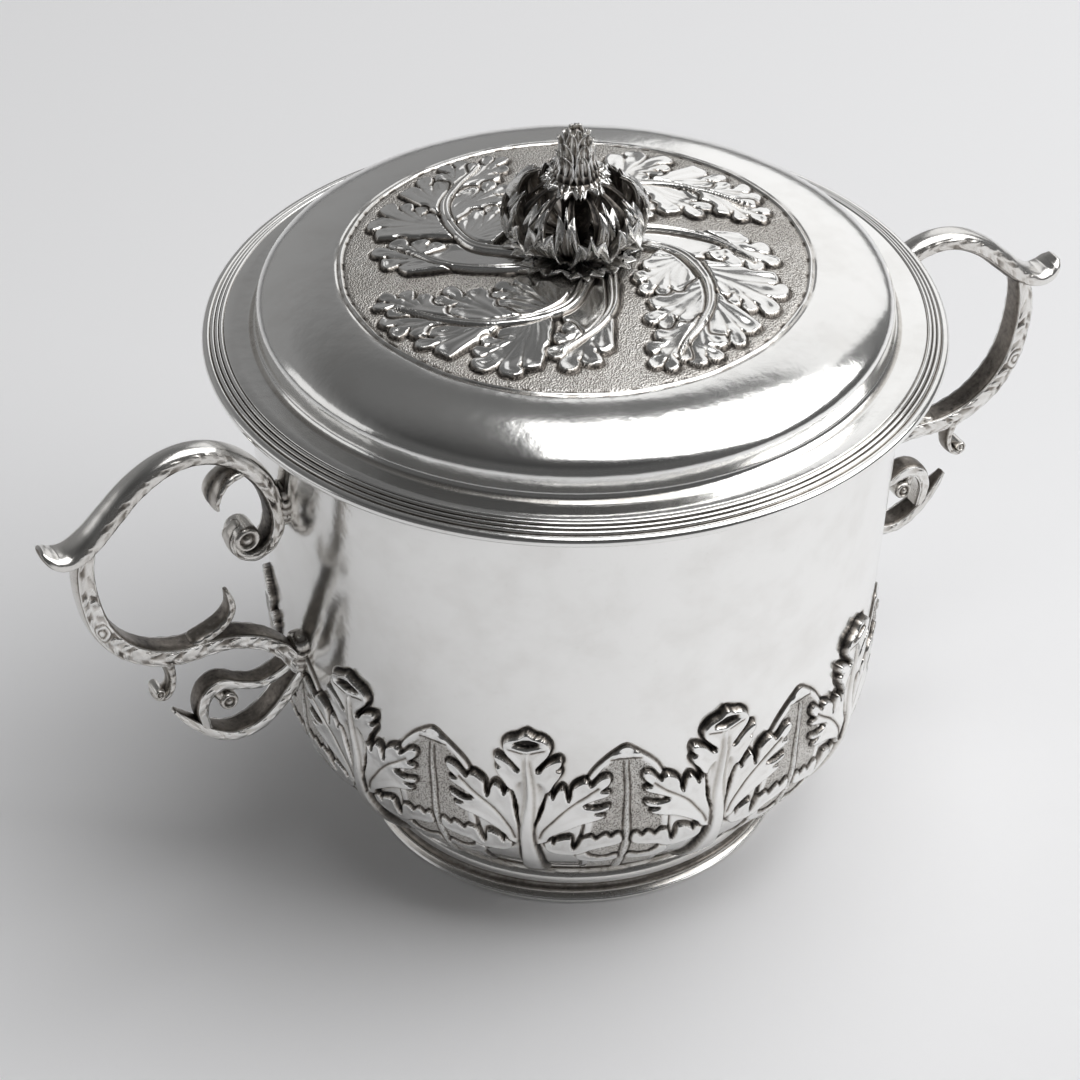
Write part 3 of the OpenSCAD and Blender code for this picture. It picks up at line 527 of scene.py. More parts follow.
def panel_relief(x, y):
    """Height, tone and punched ground of the chased panel, drawn from above with the camera at its foot."""
    height, edge, marks = np.zeros(x.shape), np.full(x.shape, -3.0), np.zeros(x.shape)

    def mass(px, py, outline, top, dish, lean=0.0):
        nonlocal height, edge, marks
        depth = depth_in(px, py, rounded(outline, 4))
        body = (top * (1 - np.exp(-np.clip(depth + 0.12, 0, None) / 0.26)) - dish * step(0.6, 3.0, depth)
                + lean * step(0, 0.7, depth))
        on = step(-0.12, 0.1, depth)
        sunk = height - 0.3 * height * bump(depth + 0.45, 0.3)
        height = sunk * (1 - on) + np.maximum(body, 0.55 * height) * on
        # dark outline of painted shadow round the leaflet
        line = bump(np.minimum(depth + 0.1, 0), 0.34) * step(0.34, -0.06, depth)
        marks = np.maximum(marks * (1 - on), 0.9 * line)
        edge = np.maximum(edge, depth)

    for k in range(4):
        c, s = cos(k * pi / 2), sin(k * pi / 2)
        px, py = c * x + s * y, c * y - s * x
        px += 0.4 * np.sin(0.23 * py + 1.7 * k) * np.sin(0.2 * px + k)
        py += 0.3 * np.sin(0.31 * px + 2 * k) * np.sin(0.17 * py + k)
        mass(px, py, STALK, 0.8, 0.3)
        for start, end, mid, tips in LEAFLETS[::-1]:
            middle, outline, notches = leaflet(start, end, mid, tips)
            way = np.subtract(end, start) / np.hypot(*np.subtract(end, start))
            lean = np.clip(-0.08 * ((px - middle[0]) * way[0] + (py - middle[1]) * way[1]), -0.45, 0.45)
            for i, (tx, ty) in enumerate(tips):     # each lobe leans a little its own way
                way = 2.4 * i + 1.7 * k + 0.3 * tx
                lean = lean + (0.17 * bump(np.hypot(px - tx, py - ty), 2.6)
                               * ((px - tx) * cos(way) + (py - ty) * sin(way)))
            root = 0.5 * np.add(start, end)
            foot = 1.5 * root - 0.5 * middle
            fx, fy = px - foot[0], py - foot[1]
            flute = np.cos(24 * np.arctan2(fy, fx) + 3 * k)
            mass(px, py, outline, 1.25, 0.2, lean + 0.05 * flute * step(2, 6, np.hypot(fx, fy)))
            for notch in notches:
                crease = smooth([(*notch, 1.0), (*(0.62 * notch + 0.38 * middle), 0.55),
                                 (*(0.8 * middle + 0.2 * notch), 0.16),
                                 (*(0.7 * middle + 0.3 * root), 0.0)], 4)
                near, d, value = along(px, py, crease)
                cut = value[:, 0]
                # painted shade along the crease
                height[near] -= 0.16 * cut * bump(d, 0.3)
                marks[near] = np.maximum(marks[near], 0.6 * cut**1.5 * bump(d, 0.22))
                # narrow slit at each notch, painted dark as shade
                near, d, _ = along(px, py, [notch, 0.92 * notch + 0.08 * middle])
                height[near] -= 0.4 * bump(d, 0.28)
                marks[near] = np.maximum(marks[near], 0.9 * bump(d, 0.25))
        for rows in (FIRST_RIB, RIB):
            near, d, value = along(px, py, smooth(rows, 4))
            w = 0.85 * value[:, 0]
            ridge = 1.0 + 0.7 * unit(1 - (d / w) ** 2) ** 0.5 - 0.4 * bump(d, 0.3 * w)
            on = step(1.25, 0.95, d / w)
            height[near] = np.maximum(height[near] * (1 - 0.5 * bump(d / w - 1.4, 0.3)), ridge * on)
            # painted shade beside the rib and along its sunk middle
            marks[near] = np.maximum(marks[near] * (1 - on),
                                     0.75 * bump(d / w - 1.35, 0.22) + 0.3 * bump(d / w, 0.18))
            edge[near] = np.maximum(edge[near], 1.1 * w - d)
    r = np.hypot(x, y)
    height -= 0.3 * bump(edge + 0.4, 0.3)
    matte = step(0.1, -0.5, edge) * step(52.6, 52.0, r) * step(8, 11, r)
    tone = np.maximum(marks, 0.24 * matte)
    # Border: a fine raised line with punched ticks beside it
    angle = np.arctan2(y, x)
    tick = np.sin(61 * angle + 2 * np.sin(9 * angle)) * np.sin(23 * angle + 1)
    off = r - (53.1 + 0.12 * np.sin(17 * angle))
    height = height + 0.4 * bump(off, 0.3) - 0.3 * bump(off + 0.75, 0.35) - 0.25 * bump(off - 0.6, 0.25)
    tone = np.maximum(tone, (0.35 + 0.6 * step(0.25, 0.45, tick)) * bump(off + 0.7, 0.35))
    tone = np.maximum(tone, 0.5 * step(-0.1, 0.4, tick) * bump(off - 0.55, 0.28))
    return height, tone, matte


def cover():
    a = circle(COVER_POINTS)
    r = np.concatenate([np.linspace(PANEL_R, 10.0, 132), [8.0, SEAT_R, 4.0, STEM_HOLE]])[:, None]
    x, y = r * np.cos(a), r * np.sin(a)
    c, s = cos(PHOTO_TURN), sin(PHOTO_TURN)
    height, tone, matte = panel_relief(c * x + s * y, c * y - s * x)
    fade = step(8, 10, r)
    # painted shadow of the finial round the stem
    height, tone, matte = height * fade, np.maximum(tone, 0.8 * step(13, 9, r)), matte * fade
    # painted shade in the recesses of the relief
    tone = unit(np.maximum(tone, hollow_shade(height)))
    z = PANEL_Z + PANEL_RISE * (1 - (np.maximum(r, SEAT_R) / PANEL_R) ** 2) + height
    panel = np.stack([x, y, z], -1)
    t = np.sin(np.radians(np.linspace(88, 2, 30)))
    shoulder = np.stack([PANEL_R + (CROWN_R - PANEL_R) * t,
                         SHOULDER_Z + (PANEL_Z - SHOULDER_Z) * np.sqrt(1 - t**1.6)], -1)
    side = np.vstack([[[FLANGE_R, CUP_H], [FLANGE_R, FLANGE_Z - 0.1], [FLANGE_R - 0.2, FLANGE_Z],
                       [77.4, FLANGE_Z + 0.02]], arc(CROWN_R + 2.2, FLANGE_Z + 2.2, 2.2, 270, 180, 10)])
    under = [[STEM_HOLE, SEAT_Z - 1], [20, 149.3], [40, 147.5], [53, 146.2], [62, 143.6], [68, 140.8],
             [71, 138], [71.5, 134], [71.5, CUP_H]]
    points, shade, punched = joined(((turn(np.vstack([side, shoulder]), COVER_POINTS), 0.0, 0.0),
                                     (panel, tone, matte), (turn(under, COVER_POINTS), 0.2, 0.0)))
    # painted shade in the corner where the upright wall stands on the flange
    shade[6:9] = 0.3    # in the corner where the upright wall stands on the flange
    shape = Shape()
    shape.grid(points, shade, punched, closed=True)
    shape.build("chased_cover", "cover", ["cover_dome"], raised)

    rim = np.vstack([[[FLANGE_R, CUP_H - 2.4], [83.4, CUP_H - 2.4]],
                     arc(83.79, CUP_H - 1.2, 1.2, -90, 118, 20),
                     [[83.05, CUP_H - 0.25]], arc(82.5, CUP_H + 0.05, 0.52, 0, 165, 9),
                     arc(81.45, CUP_H + 0.45, 0.5, 0, 165, 9), arc(80.45, CUP_H + 0.9, 0.5, 0, 150, 9),
                     [[FLANGE_R, CUP_H + 1.2]]])
    # Painted shade in the grooves between the reeds, and softer at their edges
    shade = np.zeros(len(rim))
    shade[[21, 23, 30, 33, 39, 42, 49]] = 0.4
    shade[[22, 31, 32, 40, 41, 50]] = 0.95
    shape = Shape()
    shape.grid(turn(rim, RING_POINTS), shade[:, None], closed=True)
    shape.build("reeded_rim", "cover", ["cover_rim"], raised)


# Cast handles: spines of the scrolls as [out from the wall, up, thickness, width]
MAIN = [[11, 59.5, 2.4, 5], [12.8, 57, 2.8, 6], [12, 53.8, 3, 6.6], [8.6, 52.2, 3.4, 7],
        [4.6, 54.2, 4, 7.2], [2.4, 59, 4.6, 7.4], [2.6, 65, 5, 7.4], [4.8, 71.5, 5.2, 7],
        [9.2, 77.3, 5.3, 6.6], [14.7, 81, 5.4, 6.4], [21.1, 82.3, 5.5, 6.4], [27.7, 81, 5.6, 6.6],
        [34.3, 77.3, 5.7, 7], [40.2, 72.2, 5.8, 7.6], [45.6, 67.4, 5.6, 8.2], [50.6, 64.8, 4.8, 8.8],
        [54.2, 65.2, 4, 8.6], [56.1, 66.8, 3, 7.4], [57, 68.2, 1.6, 4.6]]
LOWER = [[46.6, 66.5, 4.4, 6], [48, 60, 5.2, 6.4], [48, 52.2, 5.6, 6.8], [46.4, 44.2, 5.8, 7],
         [42.4, 37.4, 5.8, 7], [36.2, 32.6, 5.8, 6.8], [29, 30.4, 5.6, 6.6], [21.8, 30.4, 5.2, 6.4],
         [15.2, 29.6, 4.8, 6.4], [9, 26.8, 4.8, 6.6], [4.4, 22.6, 5, 7], [1.6, 17.6, 5, 7],
         [-1.5, 14, 4.4, 6.4]]
BOTTOM = [[-1, 17.4, 4, 6.6], [3, 12.6, 4, 6.8], [8, 7, 3.6, 6.8], [13.4, 3.4, 3.4, 6.8],
          [19.4, 2.6, 3.2, 6.4], [25, 5.4, 3, 5.6], [29.4, 9.6, 2.4, 4.2], [32.4, 13.2, 1.2, 2.4]]
INNER = [[1, 19.6, 3.2, 5.6], [6, 16.4, 2.8, 5.6], [11.4, 14.9, 2.7, 5.4], [16.4, 16.4, 2.8, 5.4],
         [20.6, 18, 3.9, 5.8], [24.2, 16.4, 4.1, 5.8], [26, 12, 3.4, 5.4], [25.2, 6.4, 2.6, 5]]
GRIP_LEAF = [[25, 32, 3.6, 5.6], [21, 33.4, 3.4, 5.6], [17.6, 35.4, 3.4, 5.2], [15.6, 38.6, 2.8, 4.4],
             [16, 43, 1.2, 2.2]]
PENDANT = [[32.6, 30.8, 5, 6.2], [32, 27, 3.2, 5.2], [31.8, 23.6, 2.4, 4.6], [32.6, 20.8, 2.2, 4.8],
           [34.6, 19.2, 2, 5.2], [36.6, 19.8, 1.6, 5]]
VOLUTE_LEAF = [[9, 75.2, 2.8, 6.6], [12.6, 74.2, 2.6, 7.4], [15, 72.2, 2.3, 8.4], [16.2, 69.8, 2, 8.8],
               [16.2, 68, 1.6, 8.2]]
LOWER_CURL = [[21, 18, 3.2, 5.2], [21.4, 15.4, 3.2, 5], [19.4, 13, 3.4, 4.8]]
# Eyes of the scrolls: out from the wall, up, radius and half width
EYES = [(10.2, 57.4, 3.2, 3.9), (19.6, 13.2, 2.3, 3.3), (35.6, 20.9, 1.3, 2.7)]
# Bosses at the wall: out from it, up, and half sizes out, across and up
BOSSES = [(0.6, 18.6, 3.0, 4.2, 6.4), (0.2, 62.5, 1.8, 4.0, 6.0)]

# Reliefs give height and tone at a length along the bar, its share of the whole, and q round the bar:
# 0 on the outer face, 0.5 on the flanks and 1 on the inner face

def plain(length, share, q):
    """Smooth bar with a fine raised edge on each flank, painted shade in the groove beside it and on the
    inner face.
    """
    line = bump(q - 0.66, 0.03)
    wave = 0.5 + 0.5 * np.sin(length * 1.1)
    return ((0.16 + 0.12 * wave) * bump(q - 0.6, 0.04) - 0.28 * line,
            0.1 + 0.7 * line + 0.5 * step(0.66, 0.76, q))


def chased(length, share, q, marks=1.0):
    """Bar with a running spray of leaves between raised edges on its flat flanks, and smooth other faces."""
    f = (q - 0.47) / 0.17
    side = np.abs(f)
    flank = step(1.2, 0.95, side)
    worn = 0.55 + 0.3 * np.sin(length * 0.43 + 1 + f) + 0.3 * np.sin(length * 0.97 - 0.8 * f)
    worn = marks * np.clip(worn, 0.1, 1)
    a = (((length / 4.1 + 0.3 * np.sin(length * 0.37) + np.where(f > 0, 0.5, 0.0)) % 1.0) - 0.5) * 4.1
    b = 2.1 * (side - 0.54)
    a, b = 0.84 * a + 0.54 * b, 0.84 * b - 0.54 * a
    blade = 1 - (a / 2.1) ** 2 - (b / 0.85) ** 2
    on = step(-0.05, 0.3, blade)
    stem = bump(2.1 * f, 0.24)
    vein = bump(b, 0.14) * on
    rims = bump(q - 0.27, 0.028) + bump(q - 0.67, 0.028)
    spray = 0.34 * np.sqrt(unit(blade)) - 0.14 * vein + 0.18 * stem - 0.16 * (1 - on)
    height = (flank * worn * spray
              + 0.3 * rims * (0.75 + 0.2 * np.sin(length * 1.7) + 0.15 * np.sin(length * 0.6)))
    height = height - 0.2 * bump(q - 0.33, 0.025) - 0.22 * bump(q - 0.73, 0.03) - 0.2 * bump(q - 0.2, 0.03)
    # painted shade on the ground between the leaves, along the veins, in the groove by the outer face and on
    # the inner face; the outer face a little darker, the rims a little lighter
    tone = (0.08 + flank * worn * (0.6 * (1 - on) * (1 - stem) + 0.3 * vein) + 0.6 * step(0.7, 0.77, q)
            + 0.5 * bump(q - 0.2, 0.03) + 0.12 * step(0.22, 0.12, q) - 0.1 * rims)
    return height, tone


def turned(length, share, q):
    """The same, worn smoother, on a scroll that winds the other way."""
    return chased(length + 3, share, 1 - q, 0.45)


def lower(length, share, q):
    """The same with an oval eye on the outer bend."""
    eye = np.hypot((length - 25) / 1.9, (q - 0.45) / 0.1)
    height, tone = chased(length, share, q, step(1.1, 1.6, eye))
    # raised eye with painted shade in the rings round it
    return (height + 0.34 * bump(eye - 0.95, 0.25) + 0.22 * bump(eye, 0.35),
            np.maximum(tone, 0.8 * bump(eye - 0.58, 0.16) + 0.75 * bump(eye - 1.35, 0.16)))


def upper(length, share, q):
    """Chased beside the wall, and more lightly on the flanks where the bar runs over the top to the spur."""
    part = np.maximum(step(0.44, 0.36, share), 0.6 * step(0.3, 0.36, q) * step(0.92, 0.84, share))
    (h, t), (hs, ts) = chased(length, share, q), plain(length, share, q)
    return part * h + (1 - part) * hs, part * (t + 0.12) + (1 - part) * ts


def strap(length, share, q):
    """Small leaf with raised rims, a sunk midline and notched edges."""
    notch = bump((length / 2.4) % 1.0 - 0.5, 0.16) * bump(q - 0.5, 0.12)
    rim = bump(q - 0.4, 0.05) + bump(q - 0.6, 0.05)
    # painted shade in the sunk midline, in the notches and on the inner side; the raised rims a little
    # lighter
    return (0.18 * rim - 0.2 * bump(q, 0.07) - 0.25 * notch,
            0.3 + 0.5 * bump(q, 0.08) + 0.4 * notch + 0.35 * step(0.62, 0.8, q) - 0.2 * rim)


def sweep(shape, rows, steps, relief, sides=28, square=0.85, flat=0.25):
    """Tube along a scroll, flattened on its inner side and rounded at both ends."""
    path = smooth(rows, steps)
    z = HANDLE_Z + path[:, 1]
    spine = np.stack([wall_radius(z) + path[:, 0], z], -1)
    way = np.gradient(spine, axis=0)
    way /= np.linalg.norm(way, axis=1)[:, None]
    thick, wide = path[:, 2] / 2, path[:, 3] / 2
    angles = np.radians([12, 35, 58, 78])

    def cap(end, reach, turns):
        """Rows that round off one end: middle, direction, half thickness and half width."""
        return [(spine[end] + way[end] * thick[end] * np.sin(e) * reach, way[end],
                 np.cos(e) * thick[end], np.cos(e) * wide[end]) for e in turns]

    bands = cap(0, -1, angles[::-1]) + list(zip(spine, way, thick, wide)) + cap(-1, 0.5, angles)
    spine, way, thick, wide = (np.array(column) for column in zip(*bands))
    thick, wide = thick[:, None], wide[:, None]
    length = np.concatenate([[0], np.cumsum(np.linalg.norm(np.diff(spine, axis=0), axis=1))])[:, None]
    a = -circle(sides)[None]
    ca, sa = np.cos(a), np.sin(a)
    q = np.abs((a + pi) % (2 * pi) - pi) / pi
    lift, tone = relief(length, length / length[-1], q)
    lift = lift * unit(np.minimum(thick, wide) / 1.6)
    outward = thick * np.sign(ca) * np.abs(ca) ** square * np.where(ca < 0, 1 - flat, 1)
    across = wide * np.sign(sa) * np.abs(sa) ** square
    norm = np.hypot(ca * wide, sa * thick) + 1e-9
    outward, across = outward + lift * ca * wide / norm, across + lift * sa * thick / norm
    normal = np.stack([-way[:, 1], way[:, 0]], -1)
    points = np.stack([spine[:, :1] + normal[:, :1] * outward, across,
                       spine[:, 1:] + normal[:, 1:] * outward], -1)
    shape.grid(points, unit(tone))


def button(shape, out, up, radius, half_width):
    """Round boss at the eye of a scroll, showing on both sides."""
    z = HANDLE_Z + up
    x = wall_radius(z) + out
    a = circle(36)[None]
    # Half of the outline, from the rim inwards: round edge, sunk ring and a small boss in the middle
    half = np.array([(1.0, 0.0), (1.0, 0.6), (0.96, 0.82), (0.86, 0.95), (0.74, 1.0), (0.62, 0.95),
                     (0.52, 0.82), (0.44, 0.8), (0.36, 0.9), (0.24, 1.0), (0.1, 1.04)])
    ring = np.concatenate([half[::-1], half[1:] * (1, -1)])
    # painted shade in the sunk ring round the middle boss
    shade = np.interp(ring[:, 0], [0, 0.4, 0.48, 0.6, 1], [0.15, 0.5, 0.95, 0.3, 0.2])[:, None]
    r, across = ring[:, :1] * radius, ring[:, 1:] * half_width
    points = np.stack([x + r * np.cos(a), across + 0 * a, z + r * np.sin(a)], -1)
    shape.grid(points, shade)


def boss(shape, out, up, deep, wide, high):
    """Leafy boss at a joint with the wall."""
    z = HANDLE_Z + up
    x = wall_radius(z) + out
    v = np.radians(np.linspace(-86, 86, 40))[:, None]
    a = circle(48)[None]
    rise = np.sin(v)
    fold = (3 * rise + 0.8 * np.abs(np.sin(a))) % 1.0
    swell = 1 + 0.14 * (fold - 0.5)
    points = np.stack([x + deep * np.cos(v) * np.cos(a) * swell, wide * np.cos(v) * np.sin(a) * swell,
                       z + high * rise + 0 * a], -1)
    # painted shade in the folds
    shape.grid(points, unit(0.25 + 0.7 * (1 - fold) ** 4))


def handles():
    scrolls = ((MAIN, 24, upper, 72, 0.8), (LOWER, 26, lower, 80, 0.58), (BOTTOM, 26, turned, 72, 0.58),
               (INNER, 24, turned, 64, 0.6))
    for name, solid, sign in (("right_scroll_handle", "right_handle", 1),
                              ("left_scroll_handle", "left_handle", -1)):
        shape = Shape()
        for scroll in scrolls:
            sweep(shape, *scroll)
        for rows in (GRIP_LEAF, PENDANT, VOLUTE_LEAF, LOWER_CURL):
            sweep(shape, rows, 12, strap)
        for eye in EYES:
            button(shape, *eye)
        for one in BOSSES:
            boss(shape, *one)
        for points in shape.points:     # nothing reaches further than half a millimetre into the wall
            side = np.hypot(points[:, 0], points[:, 1])
            inside = wall_radius(points[:, 2]) - 0.5
            points[:, :2] *= sign * (np.maximum(side, inside) / side)[:, None]
        shape.build(name, "cup", [solid], cast)


# Finial

def leaf(shape, place, half_width, lift, thick, tone, rows, cols, tip=lambda u: 1.0, inner=0.5):
    """Thin closed leaf: place(v, across, out) puts it, v runs from its foot to its tip."""
    u = np.linspace(-1, 1, cols)[None]
    v = np.linspace(0, 1, rows)[:, None]
    across = u * half_width(v)
    out, shade = lift(v, u), tone(v, u)
    v = v * tip(u) * np.ones_like(u)
    front, back = place(v, across, out), place(v, across * 0.94, out - thick)
    front_tone = np.broadcast_to(shade, front.shape[:2])
    shape.grid(np.concatenate([front, back[:, ::-1]], 1),
               np.concatenate([front_tone, np.full(front.shape[:2], inner)], 1))


def saw_tooth(u):
    """0 along the middle of each finger of a leaf, 1 between two fingers."""
    return 2 * np.abs((u * FINGERS / 2 + 0.5 * (FINGERS % 2)) % 1.0 - 0.5)


def fan(deep=0.4):
    """Tip line of a leaf: pointed fingers, the middle one longest."""
    return lambda u: 1 - 0.2 * u**2 - deep * saw_tooth(u) ** 1.2


def bud_place(azimuth, low, high, sway=0.0):
    """Places leaf points on the bud, from low to high degrees from its foot. sway bends the tip aside."""
    low, high = radians(low), radians(high)

    def place(v, across, out):
        angle = low + (high - low) * v
        nr, nz = np.sin(angle) / BUD_R, -np.cos(angle) / BUD_HALF
        size = np.hypot(nr, nz)
        r = BUD_R * np.sin(angle) + out * nr / size
        z = BUD_MID - BUD_HALF * np.cos(angle) + out * nz / size
        return polar(r, azimuth + (across + sway * v**2) / np.maximum(r, 2.5), z)
    return place


def lying_place(azimuth):
    """Places leaf points on the cover, from the stem outwards."""
    def place(v, across, out):
        r = 4.0 + 12.6 * v
        z = SEAT_Z + 0.75 + 1.5 * v**2.2 - 0.5 * step(0.85, 1.0, v) + out
        return polar(r, azimuth + across / np.maximum(r, 4), z)
    return place


def cone_place(azimuth, low, high):
    """Places leaf points on the cone, between two heights above its foot."""
    def place(v, across, out):
        z = low + (high - low) * v
        r = 0.3 + (CONE_R - 1.0) * unit(1 - z / (CONE_H + 0.3)) ** 0.72 + out
        return polar(r, azimuth + across / np.maximum(r, 1.0), CONE_Z + z)
    return place


def hanging_lift(v, u):
    """Lift of a leaf of the collar: a hollow along each finger, and the whole tip standing off the bud."""
    return (-0.3 + 0.9 * v**1.6 + 0.6 * saw_tooth(u) ** 2 * (0.3 + v) - 0.4 * u**2
            + 1.1 * bump(v - 0.28, 0.25))


def hanging_tone(v, u):
    """Bright rims round the hollow of each finger, which is painted dark as shade, as is the foot of the
    leaf.
    """
    hollow = step(0.72, 0.4, saw_tooth(u)) * step(0.97, 0.86, v)
    return unit(0.75 * hollow + 0.7 * step(0.4, 0.05, v))


def scale_width(size):
    """Half width of a leaf of the cone."""
    return lambda v: size * np.maximum(2.0 * np.sin(pi * unit(0.28 + 0.65 * v)) ** 0.8, 0.1)


def scale_lift(size, row, curl):
    """Lift of a leaf of the cone: raised edges, a rib along the middle and a curled tip."""
    return lambda v, u: size * (0.1 + 0.1 * row + curl * v**4 + 0.45 * step(0.45, 0.9, np.abs(u))
                                + 0.28 * bump(u, 0.16))


def scale_tone(v, u):
    """Painted shade on both sides of the rib, and at the foot."""
    hollow = (0.55 - 0.5 * bump(u, 0.2)) * step(0.82, 0.6, np.abs(u)) * step(1, 0.88, v)
    return unit(hollow + 0.65 * step(0.3, 0.02, v))


def shell_lift(base, curl):
    """Lift of a shell-shaped leaf: hollow and ribbed, with its rim turned out."""
    def lift(v, u):
        rim = step(0.72, 0.95, np.maximum(np.abs(u), v))
        return (base + curl * v**4 + 0.5 * u**2 * v + 0.5 * rim + 0.16 * np.cos(7 * pi * u) * (1 - rim)
                + 0.7 * bump(v - 0.3, 0.25))
    return lift


def shell_tone(v, u):
    """Painted shade between the ribs and at the foot of a shell-shaped leaf."""
    inside = step(0.9, 0.7, np.maximum(np.abs(u), v))
    ribs = 0.5 + 0.5 * np.cos(7 * pi * u)
    return unit(inside * (0.5 - 0.42 * ribs) + 0.6 * step(0.3, 0.05, v))


def finial():
    rng = np.random.default_rng(5)
    pitch = 2 * pi / BUD_LEAVES
    shape = Shape()
    # Straps painted nearly black, as the shade inside the openwork bud
    for k in range(BUD_LEAVES):     # straps that carry the leaves of the bud up to the collar
        leaf(shape, bud_place((k + 0.5) * pitch, 22, 158),
             lambda v: np.maximum(1.5 * np.sin(pi * unit(0.12 + 0.8 * v)) ** 1.2, 0.6),
             lambda v, u: 0.3 * np.abs(u) - 2.8 + 0.9 * step(0.75, 1, v), 0.6,
             lambda v, u: 0.95 - 0.25 * np.abs(u) + 0 * v, 49, 13)
    # Tall leaves with painted shade in their hollows, and painted shadow over the lower half behind the short
    # leaves
    for k in range(BUD_LEAVES):     # tall leaves with their tips curled over
        a = (k + 0.5) * pitch + rng.uniform(-0.08, 0.08)
        top = (144 if k % 2 else 131) + rng.uniform(-6, 5)
        leaf(shape, bud_place(a, 25, top, rng.uniform(-1.4, 1.4)),
             lambda v: 1.6 + 2.3 * np.sin(pi * unit(v / 1.25)) ** 1.5,
             shell_lift(-1.0, 2.0 + rng.uniform(-0.8, 0.8)), 0.6,
             lambda v, u: np.maximum(shell_tone(v, u), 0.6 * step(0.5, 0.25, v)), 64, 61, fan(0.32))
    # Core painted black, as the shade deep inside the bud
    core = turn([[2.2, BUD_LOW + 0.3], [3.2, BUD_LOW + 5], [3.4, BUD_HIGH - 3], [4.6, BUD_HIGH - 0.4],
                 [STEM_HOLE, BUD_HIGH - 0.2], [STEM_HOLE, BUD_LOW + 0.2]], 32)
    shape.grid(core, 1.0, closed=True)
    shape.build("openwork_bud", "cover", ["finial_bud"], leafy)

    shape = Shape()
    for k in range(BUD_LEAVES):     # short leaves round the foot
        a = k * pitch + rng.uniform(-0.08, 0.08)
        top = 110 + rng.uniform(-9, 7)
        leaf(shape, bud_place(a, 24, top, rng.uniform(-0.8, 0.8)),
             lambda v: 2 + 2.5 * np.sin(pi / 2 * unit(v / 0.75)),
             shell_lift(-0.1, 1.8 + rng.uniform(-0.5, 0.6)), 0.6, shell_tone, 48, 61, fan(0.3))
    # Ring under the leaves, painted dark as their shade
    base = turn([[STEM_HOLE, 151.75], [5.2, 151.75], [6.4, 152.6], [7.6, 153.2], [6.6, 153.5],
                 [STEM_HOLE, 153.2]])
    shape.grid(base, 0.85, closed=True)
    shape.build("clasping_leaves", "cover", ["finial_leaf_cup"], leafy)

    shape = Shape()
    for k in range(ROSETTE_LEAVES):     # leaves that lie on the cover
        a = (k + 0.5) * 2 * pi / ROSETTE_LEAVES + rng.uniform(-0.08, 0.08)
        leaf(shape, lying_place(a), lambda v: 2.2 + 3.4 * np.sin(pi / 2 * unit(v / 0.85)),
             lambda v, u: 0.1 + 0.45 * saw_tooth(u) ** 2 * v - 0.3 * u**2 * v, 0.5, shell_tone,
             32, 37, fan(0.3))
    # Ring under the leaves, painted dark as their shade
    base = turn([[STEM_HOLE, SEAT_Z], [7, SEAT_Z + 0.02], [8.4, SEAT_Z + 0.3], [7, SEAT_Z + 0.9],
                 [STEM_HOLE, SEAT_Z + 0.9]])
    shape.grid(base, 0.85, closed=True)
    shape.build("leaf_rosette", "cover", ["finial_rosette"], leafy)

    shape = Shape()
    for k in range(BUD_LEAVES):     # small leaves hanging from the collar
        a = k * pitch + rng.uniform(-0.06, 0.06)
        leaf(shape, bud_place(a, 163, 147 - rng.uniform(0, 6)),
             lambda v: -(1.5 + 0.8 * np.sin(pi * unit(v))), hanging_lift, 0.5, hanging_tone,
             18, 25, fan())
    # Ring under the hanging leaves, painted darker as their shade
    ring = np.vstack([[[STEM_HOLE, 169.5], [4.2, 169.3]], arc(4.9, 169.75, 0.7, -100, 110, 12),
                      [[STEM_HOLE, 170.4]]])
    shape.grid(turn(ring), 0.6, closed=True)
    shape.build("hanging_collar", "cover", ["finial_collar"], leafy)

    shape = Shape()
    tiers = ((0, 7.0, 7, 1.15), (1.8, 9.8, 6, 1.1), (5.0, 11.6, 5, 0.9), (8.0, 12.5, 5, 0.62))
    for row, (low, high, count, size) in enumerate(tiers):
        for k in range(count):
            a = (k + 0.5 * row) * 2 * pi / count + rng.uniform(-0.2, 0.2)
            curl = 1.4 + rng.uniform(-0.7, 0.7)
            size = size * rng.uniform(0.85, 1.15)
            leaf(shape, cone_place(a, low, high + rng.uniform(-0.8, 0.1)), scale_width(size),
                 scale_lift(size, row, curl), 0.4, scale_tone, 28, 21, inner=0.2)
    # Core between the leaves, painted darker as their shade
    core = [[0.3 + (CONE_R - 2) * sqrt(1 - t) if t < 0.99 else 0.2, CONE_Z + t * (CONE_H - 1)]
            for t in np.linspace(0, 1, 16)]
    shape.grid(turn(core, 40), 0.5)
    shape.build("leafy_cone", "cover", ["finial_cone"], leafy)


cup()
cover()
handles()
finial()
for hidden in ("cover_bezel", "finial_washer", "finial_stem"):
    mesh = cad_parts[hidden].data
    mesh.materials.clear()
    mesh.materials.append(raised if hidden == "cover_bezel" else cast)

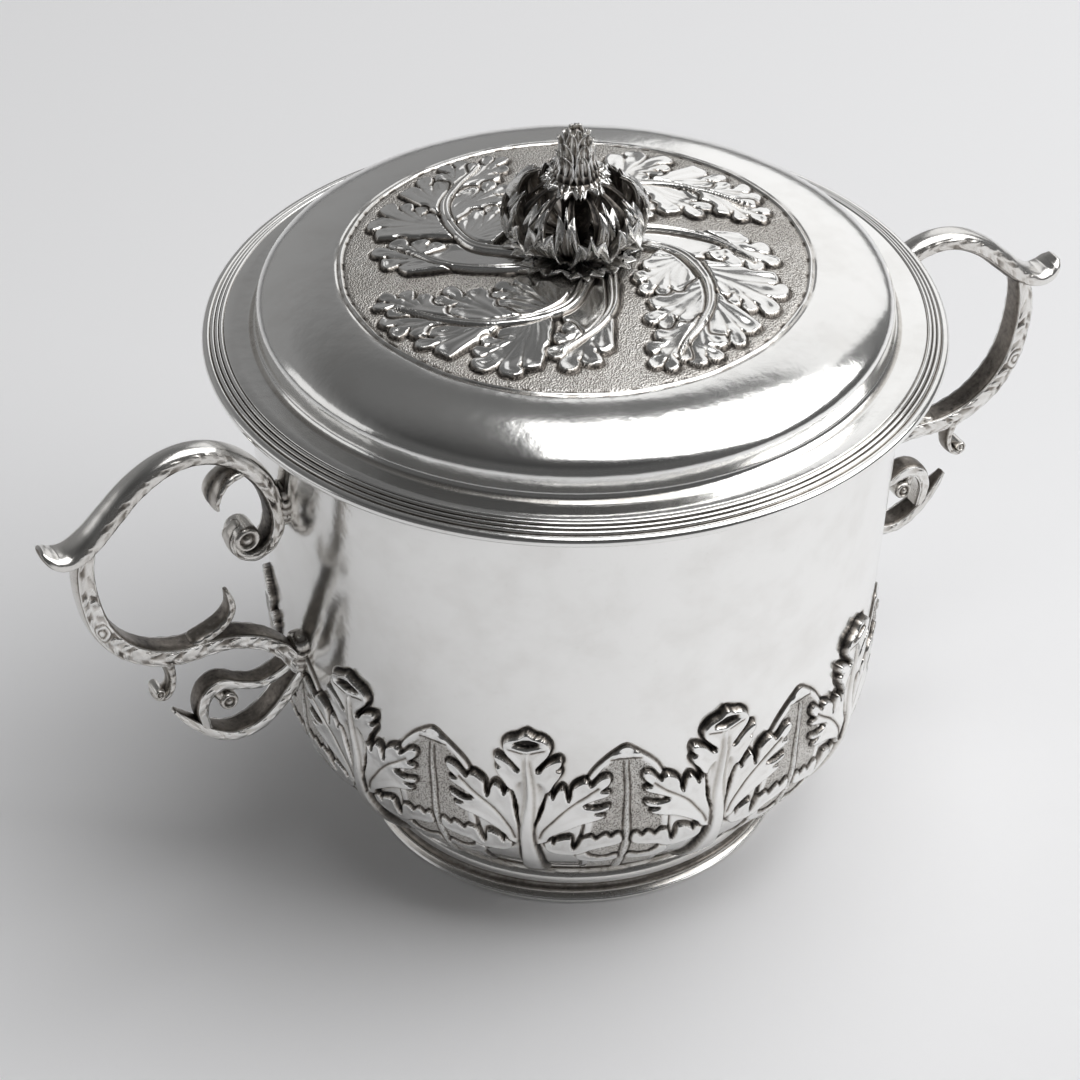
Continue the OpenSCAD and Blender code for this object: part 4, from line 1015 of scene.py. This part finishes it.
# Floor, light and camera
FLOOR_HALF = 12    # metres
MIDDLE = Vector((0, 0, 0.09))
corners = [(x * FLOOR_HALF, y * FLOOR_HALF, 0) for x, y in ((-1, -1), (1, -1), (1, 1), (-1, 1))]
floor_mesh = bpy.data.meshes.new("floor")
floor_mesh.from_pydata(corners, [], [(0, 1, 2, 3)])
floor = new_object("floor", floor_mesh)
paper = bpy.data.materials.new("pale_floor")
paper.use_nodes = True
feed(paper.node_tree.nodes["Principled BSDF"], {"Base Color": (0.9, 0.9, 0.91, 1), "Roughness": 0.7})
floor_mesh.materials.append(paper)


def aim(thing, target):
    """Turns a lamp or a camera towards a point."""
    thing.rotation_euler = (target - thing.location).to_track_quat("-Z", "Y").to_euler()


def softbox(name, azimuth, elevation, distance, width, height, power):
    """Lamp at degrees round and above the middle of the cup, in metres and watts."""
    light = bpy.data.lights.new(name, "AREA")
    light.shape, light.size, light.size_y, light.energy = "RECTANGLE", width, height, power
    lamp = new_object(name, light)
    a, e = radians(azimuth), radians(elevation)
    way = Vector((cos(a) * cos(e), sin(a) * cos(e), sin(e)))
    lamp.location = MIDDLE + distance * way
    aim(lamp, MIDDLE)
    lamp.visible_camera = False


softbox("key", -28, 58, 1.5, 1.5, 2.3, 28)
softbox("right", 38, 28, 1.4, 1.0, 1.15, 2.7)
softbox("left", 152, 14, 1.3, 0.9, 0.46, 0.8)

# The room is dark, with a grey wall behind the cup
world = bpy.data.worlds.new("studio")
world.use_nodes = True
bpy.context.scene.world = world
tree = world.node_tree
tree.nodes.clear()


def greys(source, shades):
    """Grey that follows a value through the shades."""
    return colour_ramp(tree, source, [(at, (value, value, value, 1)) for at, value in shades])


where = node(tree, "ShaderNodeTexCoord")["Generated"]
height = node(tree, "ShaderNodeSeparateXYZ", {0: where})["Z"]
towards = node(tree, "ShaderNodeVectorMath", {0: where, 1: (0.087, 0.996, 0)},
               operation="DOT_PRODUCT")["Value"]
lit = node(tree, "ShaderNodeBackground", {
    "Color": greys(towards, ((0.0, 0.09), (0.5, 0.2), (1.0, 0.27))),
    "Strength": greys(height, ((0.0, 1.0), (0.5, 1.0), (0.72, 0.55), (1.0, 0.8)))})
node(tree, "ShaderNodeOutputWorld", {"Surface": lit[0]})

lens = bpy.data.cameras.new("camera")
lens.lens, lens.sensor_width = 128.3, 36
camera = new_object("camera", lens)
camera.location = (-0.3454, -0.6505, 0.6104)
aim(camera, Vector((-0.00713, 0.00369, 0.0698)))
bpy.context.scene.camera = camera
bpy.context.scene.view_settings.view_transform = "Standard"
